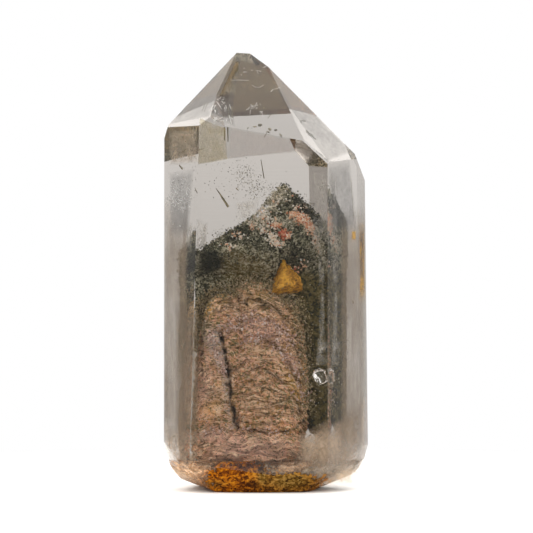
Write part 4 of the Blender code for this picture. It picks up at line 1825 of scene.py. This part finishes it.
@dataclass
class BaseStain:
    """Milky and tan-stained quartz just inside the worn base, and a rusty skin on its front."""

    inset: float = 0.28 * MM
    skin: float = 0.05 * MM
    thickness: float = 0.03 * MM
    top: float = 5.4 * MM
    voxel: float = 0.26 * MM
    milk: Stops = ((0.3, (0.14, 0.09, 0.045)), (0.5, (0.3, 0.22, 0.13)), (0.75, (0.5, 0.4, 0.28)))
    tan: Stops = ((0.3, (0.45, 0.22, 0.08)), (0.55, (0.78, 0.46, 0.23)), (0.8, (0.92, 0.68, 0.45)))
    rust: Stops = ((0.38, (0.04, 0.008, 0)), (0.48, (0.17, 0.04, 0)), (0.56, (0.38, 0.11, 0)),
                   (0.68, (0.6, 0.23, 0.002)))
    brown: Stops = ((0.36, (0.03, 0.014, 0.002)), (0.5, (0.15, 0.075, 0.008)), (0.68, (0.36, 0.21, 0.05)))
    peach: Stops = ((0.35, (0.5, 0.25, 0.1)), (0.5, (0.84, 0.56, 0.34)), (0.7, (0.97, 0.79, 0.6)))
    rust_spots: tuple[Blot, ...] = (
        Blot(232, 477, 27, 10, 1.5), Blot(248, 467, 16, 6, 0.9), Blot(226, 468, 8, 6, 0.4),
        Blot(286, 482, 36, 9, 1.2), Blot(262, 474, 10, 8, 0.5), Blot(262, 489, 56, 6, 0.9),
    )
    brown_spots: tuple[Blot, ...] = (Blot(290, 481, 34, 13, 1.1), Blot(262, 476, 5, 9, 0.6),
                                     Blot(214, 484, 14, 5, 0.5))
    peach_spots: tuple[Blot, ...] = (Blot(286, 467, 15, 6, 0.9), Blot(302, 464, 8, 5, 0.4),
                                     Blot(190, 468, 22, 22, 1.2))

    def inner_material(self) -> Material:
        """Make the milky and tan stain's material.

        Returns:
            The material.
        """
        made = Finish("base_stain")
        grit = made.grit(2600, 300, 0.8)
        tone = grit.outputs["Tone"]
        colour = made.blend(made.mark("tan"), made.ramp(tone, self.milk), made.ramp(tone, self.tan))
        cover = made.plus(made.mark("cover"), made.span(tone, 0.35, 0.65, -0.3, 0.3))
        made.shade(Base_Color=colour, Roughness=made.span(tone, 0.3, 0.7, 0.8, 0.5),
                   Alpha=made.span(cover, 0.25, 0.75))
        made.relief(grit.outputs["Height"], 0.7, 0.3 * MM)
        return made.material

    def outer_material(self) -> Material:
        """Make the rusty skin's material.

        Returns:
            The material.
        """
        made = Finish("rust_skin")
        grit = made.grit(2800, 420, 0.8)
        streaks = made.speckle(1, 4, 0.7, made.stretched(500, 500, 1500))
        tone = made.plus(made.times(grit.outputs["Tone"], 0.5), made.times(streaks, 0.5))
        colour = made.blend(made.mark("brown"), made.ramp(tone, self.rust), made.ramp(tone, self.brown))
        colour = made.blend(made.mark("peach"), colour, made.ramp(tone, self.peach))
        edge = made.plus(made.mark("rust"), made.span(tone, 0.38, 0.62, -0.35, 0.35))
        film = made.times(made.mark("peach"), made.span(streaks, 0.4, 0.6, 0.1, 0.85))
        made.shade(Base_Color=colour, Roughness=made.span(tone, 0.3, 0.7, 0.9, 0.65), Specular_IOR_Level=0.1,
                   Alpha=made.larger(film, made.span(edge, 0.42, 0.62)))
        made.relief(tone, 1, 0.3 * MM)
        return made.material

    def shell(self, inset: float) -> Mesh:
        """Follow the worn base at a depth under its faces.

        Args:
            inset: the depth; below 0 the layer lies on the faces.

        Returns:
            The layer.
        """
        walls = [Facet(facet.azimuth, facet.tilt, facet.through - outward(facet.azimuth, facet.tilt) * depth)
                 for facets, depth in ((PRISM.values(), abs(inset)), (BASE_WEAR, inset)) for facet in facets]
        floor = Facet(0, -90, Vector((0, 0, abs(inset))))
        lid = Facet(0, 90, Vector((0, 0, self.top)))
        return joined((cut_block((*walls, floor, lid)),), self.voxel)

    def build(self) -> None:
        """Make the stain and the skin."""
        mesh = self.shell(self.inset)
        places = read_points(mesh)
        lumps = 0.5 + 0.5 * ripple(places, 1 * MM, 4, 2)
        move_points(mesh, places - read_points(mesh, "normal") * (np.clip(lumps, 0, 1) * 0.4 * MM)[:, None])
        across, _, height = read_points(mesh).T / MM
        wander = ripple(places, 2.6 * MM, 3, 7)
        tan = ease(-across + wander, 7.5, 10.5) + blotted(places, self.peach_spots)
        cover = ease(-height - 0.6 * wander, -5.2, -3.8) * (0.95 - 0.3 * ease(across, 5, 9))
        mark_shares(mesh, tan=tan, cover=cover)
        mesh = trimmed(mesh, cover, self.thickness)
        place_piece("base_stain", mesh, self.inner_material(), None, True)
        mesh = self.shell(-self.skin)
        places = read_points(mesh)
        across, along, height = places.T / MM
        rust = blotted(places, self.rust_spots) * ease(-along, 2, 6) + 0.9 * bell(height, 0, 0.4)
        peach = blotted(places, self.peach_spots) * ease(-along, 2, 6) * ease(-height, -7, -5.5) - rust
        mark_shares(mesh, rust=rust, brown=blotted(places, self.brown_spots), peach=peach)
        mesh = trimmed(mesh, np.maximum(rust, peach), self.thickness)
        place_piece("rust_skin", mesh, self.outer_material(), None, True)


@dataclass(frozen=True)
class CrackPatch:
    """Fine cracks under a face: how many, where they start and how far they run, in pixels.

    They start anywhere between the two pixels of across and of down, or, where gathered, round the first
    pixel of down with the second as their spread. Each run is a mean and a spread.
    """

    face: Facet
    count: int
    across: Pixel
    down: Pixel
    gathered: bool
    run_across: Pixel
    run_down: Pixel


@dataclass
class Flaws:
    """Small things in the clear quartz: needles, flecks, stray flakes, fine cracks, some of them white
    painted glints, and a small bubble.

    Each stray zone has its pixel, half width, half height and depth in millimetres, each fleck its pixel and
    size, and each needle its depth and the pixels and radii along it.
    """

    seed: int = 5
    stray_count: int = 2600
    spark_count: int = 26
    hair: float = 0.042 * MM
    glint: float = 0.075 * MM
    crack_depth: float = 0.35 * MM
    fleck_depth: float = 0.5 * MM
    bubble_depth: float = -8.6 * MM
    bubble_pixel_x: float = 321
    bubble_pixel_y: float = 376
    stray_zones: tuple[tuple[float, ...], ...] = (
        (200, 245, 12, 8, -4), (222, 235, 14, 6, -4.5), (186, 250, 5, 9, -3), (250, 222, 12, 8, -3.5),
        (275, 192, 10, 8, -1.5), (305, 205, 10, 8, -2), (322, 222, 7, 9, -3.5), (345, 226, 8, 16, -3),
        (352, 250, 6, 30, -2), (325, 290, 4, 40, -6), (190, 290, 5, 30, -6), (230, 180, 30, 20, 3),
        (250, 182, 11, 12, -2), (243, 172, 10, 8, -2), (256, 190, 8, 8, -2.5), (301, 346, 6, 26, -8),
        (305, 400, 6, 30, -8), (262, 287, 22, 5, -8.5), (222, 296, 16, 6, -9), (288, 300, 10, 8, -8),
    )
    right_flecks: tuple[tuple[float, ...], ...] = (
        (304, 120, 0.75), (301.5, 121, 0.5), (308, 131.5, 0.6), (311.5, 134.5, 0.75), (315, 137.5, 0.5),
        (303.5, 111, 0.3),
    )
    front_flecks: tuple[tuple[float, ...], ...] = (
        (255, 125.5, 0.5), (260, 124, 0.45), (268.5, 131, 0.5), (270, 128, 0.4), (248, 127, 0.3),
        (276, 129, 0.35), (281, 134, 0.35), (264, 107, 0.3),
    )
    long_cracks: tuple[tuple[Pixel, ...], ...] = (
        ((229, 79.5), (238, 79.3), (249, 79.6)),
        ((252, 84.5), (256, 86.5), (260, 86.5), (264, 84)),
        ((271, 91), (273, 88.5), (277, 88), (280, 86)),
    )
    crack_patches: tuple[CrackPatch, ...] = (
        CrackPatch(POINT["front"], 42, (211, 230), (96, 127), False, (0.8, 1.6), (1.2, 2.2)),
        CrackPatch(POINT["front"], 12, (240, 264), (66, 76), False, (1.6, 1), (0, 0.6)),
        CrackPatch(POINT["front"], 16, (246, 264), (104, 111), False, (0, 2.5), (0, 2)),
        CrackPatch(PRISM["front_left"], 80, (167, 190), (196, 11), True, (0.8, 1.2), (1.6, 2.2)),
    )
    needle_lines: tuple[tuple[float, tuple[tuple[float, ...], ...]], ...] = (
        (-3, ((215.9, 188.2, 0.05), (220, 194, 0.12), (222.5, 198, 0.2), (228.3, 206.8, 0.24))),
        (2, ((224.3, 127, 0.12), (224.5, 140, 0.09))), (2, ((227.7, 127.5, 0.14), (228, 141.5, 0.08))),
        (-4, ((193, 152, 0.05), (205, 148, 0.05))), (3, ((261, 160, 0.06), (264, 178, 0.1))),
        (0, ((236, 188, 0.12), (238.5, 190.5, 0.06))), (0, ((268, 131, 0.08), (264, 137, 0.05))),
        (-5, ((188, 165, 0.12), (193, 169, 0.2))), (-2, ((339, 178, 0.04), (344, 218, 0.05))),
    )
    dark_finish: GrainFinish = GrainFinish("dark_flakes", (
        (0, (0.02, 0.022, 0.012)), (0.5, (0.12, 0.11, 0.06)), (1, (0.42, 0.36, 0.22))))
    # Pale slivers for the cracks, white enough to stand for the painted glints in the left prism face.
    crack_and_glint_finish: GrainFinish = GrainFinish("pale_cracks_and_glints", ((0, (0.72, 0.7, 0.66)), (1, (1, 1, 1))), 0.35)

    def strays(self, rng: Chance) -> Mesh:
        """Scatter loose chlorite flakes round the phantom, and pale sparks under the bubble.

        Args:
            rng: the source of chance.

        Returns:
            The flakes.
        """
        spots = []
        for index in range(self.stray_count):
            pixel_x, pixel_y, wide, tall, depth = self.stray_zones[index % len(self.stray_zones)]
            spots.append(seen_at(rng.normal(pixel_x, wide * 0.6), rng.normal(pixel_y, tall * 0.6),
                                 (depth + rng.normal(0, 1.2)) * MM))
        tones = rng.beta(1.9, 1.6, len(spots))
        for _ in range(self.spark_count):
            spots.append(seen_at(rng.normal(self.bubble_pixel_x - 1, 2.5),
                                 rng.normal(self.bubble_pixel_y + 8, 1.2), -9 * MM))
        tones = np.append(tones, np.ones(self.spark_count))
        sizes = rng.uniform(0.03, 0.12, len(spots)) * MM
        return grain_mesh(np.array(spots), sizes, tones, GrainShape.FLAKE, rng)

    def flecks(self, rng: Chance) -> Mesh:
        """Place the olive flecks just under the faces of the point.

        Args:
            rng: the source of chance.

        Returns:
            The flecks.
        """
        tables = ((POINT["right"], self.right_flecks), (POINT["front"], self.front_flecks))
        marks = [(face, *fleck) for face, flecks in tables for fleck in flecks]
        spots = [under_face(face, pixel_x, pixel_y, self.fleck_depth) for face, pixel_x, pixel_y, _ in marks]
        sizes = np.array([size for *_, size in marks]) * MM
        return grain_mesh(np.array(spots), sizes, rng.uniform(0.4, 0.9, len(spots)), GrainShape.FLAKE, rng)

    def cracks(self, rng: Chance) -> Mesh:
        """Draw the fine pale cracks under the growth step and across the point, and the wider white slivers
        in the left prism face that are painted glints.

        Args:
            rng: the source of chance.

        Returns:
            The cracks.
        """
        lines = [(POINT["front"], line) for line in self.long_cracks]
        for patch in self.crack_patches:
            down = rng.normal if patch.gathered else rng.uniform
            for _ in range(patch.count):
                x, y = rng.uniform(*patch.across), down(*patch.down)
                end = (x + rng.normal(*patch.run_across), y + rng.normal(*patch.run_down))
                lines.append((patch.face, ((x, y), end)))
        paths = []
        for face, line in lines:
            # The slivers in the left prism face are wider: white painted glints.
            thick = self.hair if face is POINT["front"] else self.glint
            paths.append([(under_face(face, *pixel, self.crack_depth), thick * rng.uniform(0.5, 1.6))
                          for pixel in line])
        edge = PRISM["front"].through.y + 0.4 * MM
        mesh = sliver_mesh([path for path in paths if all(place.y > edge for place, _ in path)])
        mark_points(mesh, "tone", rng.uniform(0.3, 1, len(mesh.vertices)))
        return mesh

    def needles(self, rng: Chance) -> Mesh:
        """Draw the brown needle, the short dark needles near the growth step and a few hairs.

        Args:
            rng: the source of chance.

        Returns:
            The needles.
        """
        mesh = sliver_mesh([[(seen_at(pixel_x, pixel_y, depth * MM), radius * MM)
                             for pixel_x, pixel_y, radius in line] for depth, line in self.needle_lines])
        mark_points(mesh, "tone", rng.uniform(0.45, 1, len(mesh.vertices)))
        return mesh

    def bubble(self) -> Mesh:
        """Shape the glinting lens at the right.

        Returns:
            The lens.
        """
        bm = bmesh.new()
        bmesh.ops.create_icosphere(bm, subdivisions=4, radius=1)
        centre = seen_at(self.bubble_pixel_x, self.bubble_pixel_y, self.bubble_depth)
        for vert in bm.verts:
            dent = 1 + 0.5 * noise.noise(vert.co * 1.3) + 0.2 * noise.noise(vert.co * 3.4)
            vert.co = centre + Vector((vert.co.x * 1.15, vert.co.y * 0.5, vert.co.z * 1.2)) * dent * MM
        return mesh_of(bm, "bubble")

    def build(self) -> None:
        """Make the small things."""
        rng = np.random.default_rng(self.seed)
        dark = self.dark_finish.material()
        pale = self.crack_and_glint_finish.material()
        place_piece("stray_flakes", self.strays(rng), dark)
        place_piece("olive_flecks", self.flecks(rng), dark)
        place_piece("fine_cracks", self.cracks(rng), pale)
        place_piece("brown_needles", self.needles(rng), dark)
        lens = Finish("gas_bubble")
        lens.shade(Base_Color=(1, 1, 1), IOR=1.4, Transmission_Weight=1, Metallic=0,
                   Roughness=lens.span(lens.speckle(900), 0.4, 0.7, 0, 0.12))
        lens.relief(lens.speckle(1100, 4), 0.4, 0.2 * MM)
        place_piece("gas_bubble", self.bubble(), lens.material, None, True)


def main() -> None:
    """Build the studio and every piece of the crystal."""
    logging.basicConfig(level=logging.INFO, format="%(message)s")
    for kind in (Studio, ClearQuartz, ChloritePhantom, LayeredMound, OchreCrystal, RustCrust, Veils, Films,
                 BaseStain, Flaws):
        kind().build()
        log.info("%s done", kind.__name__)


if __name__ == "__main__":
    main()
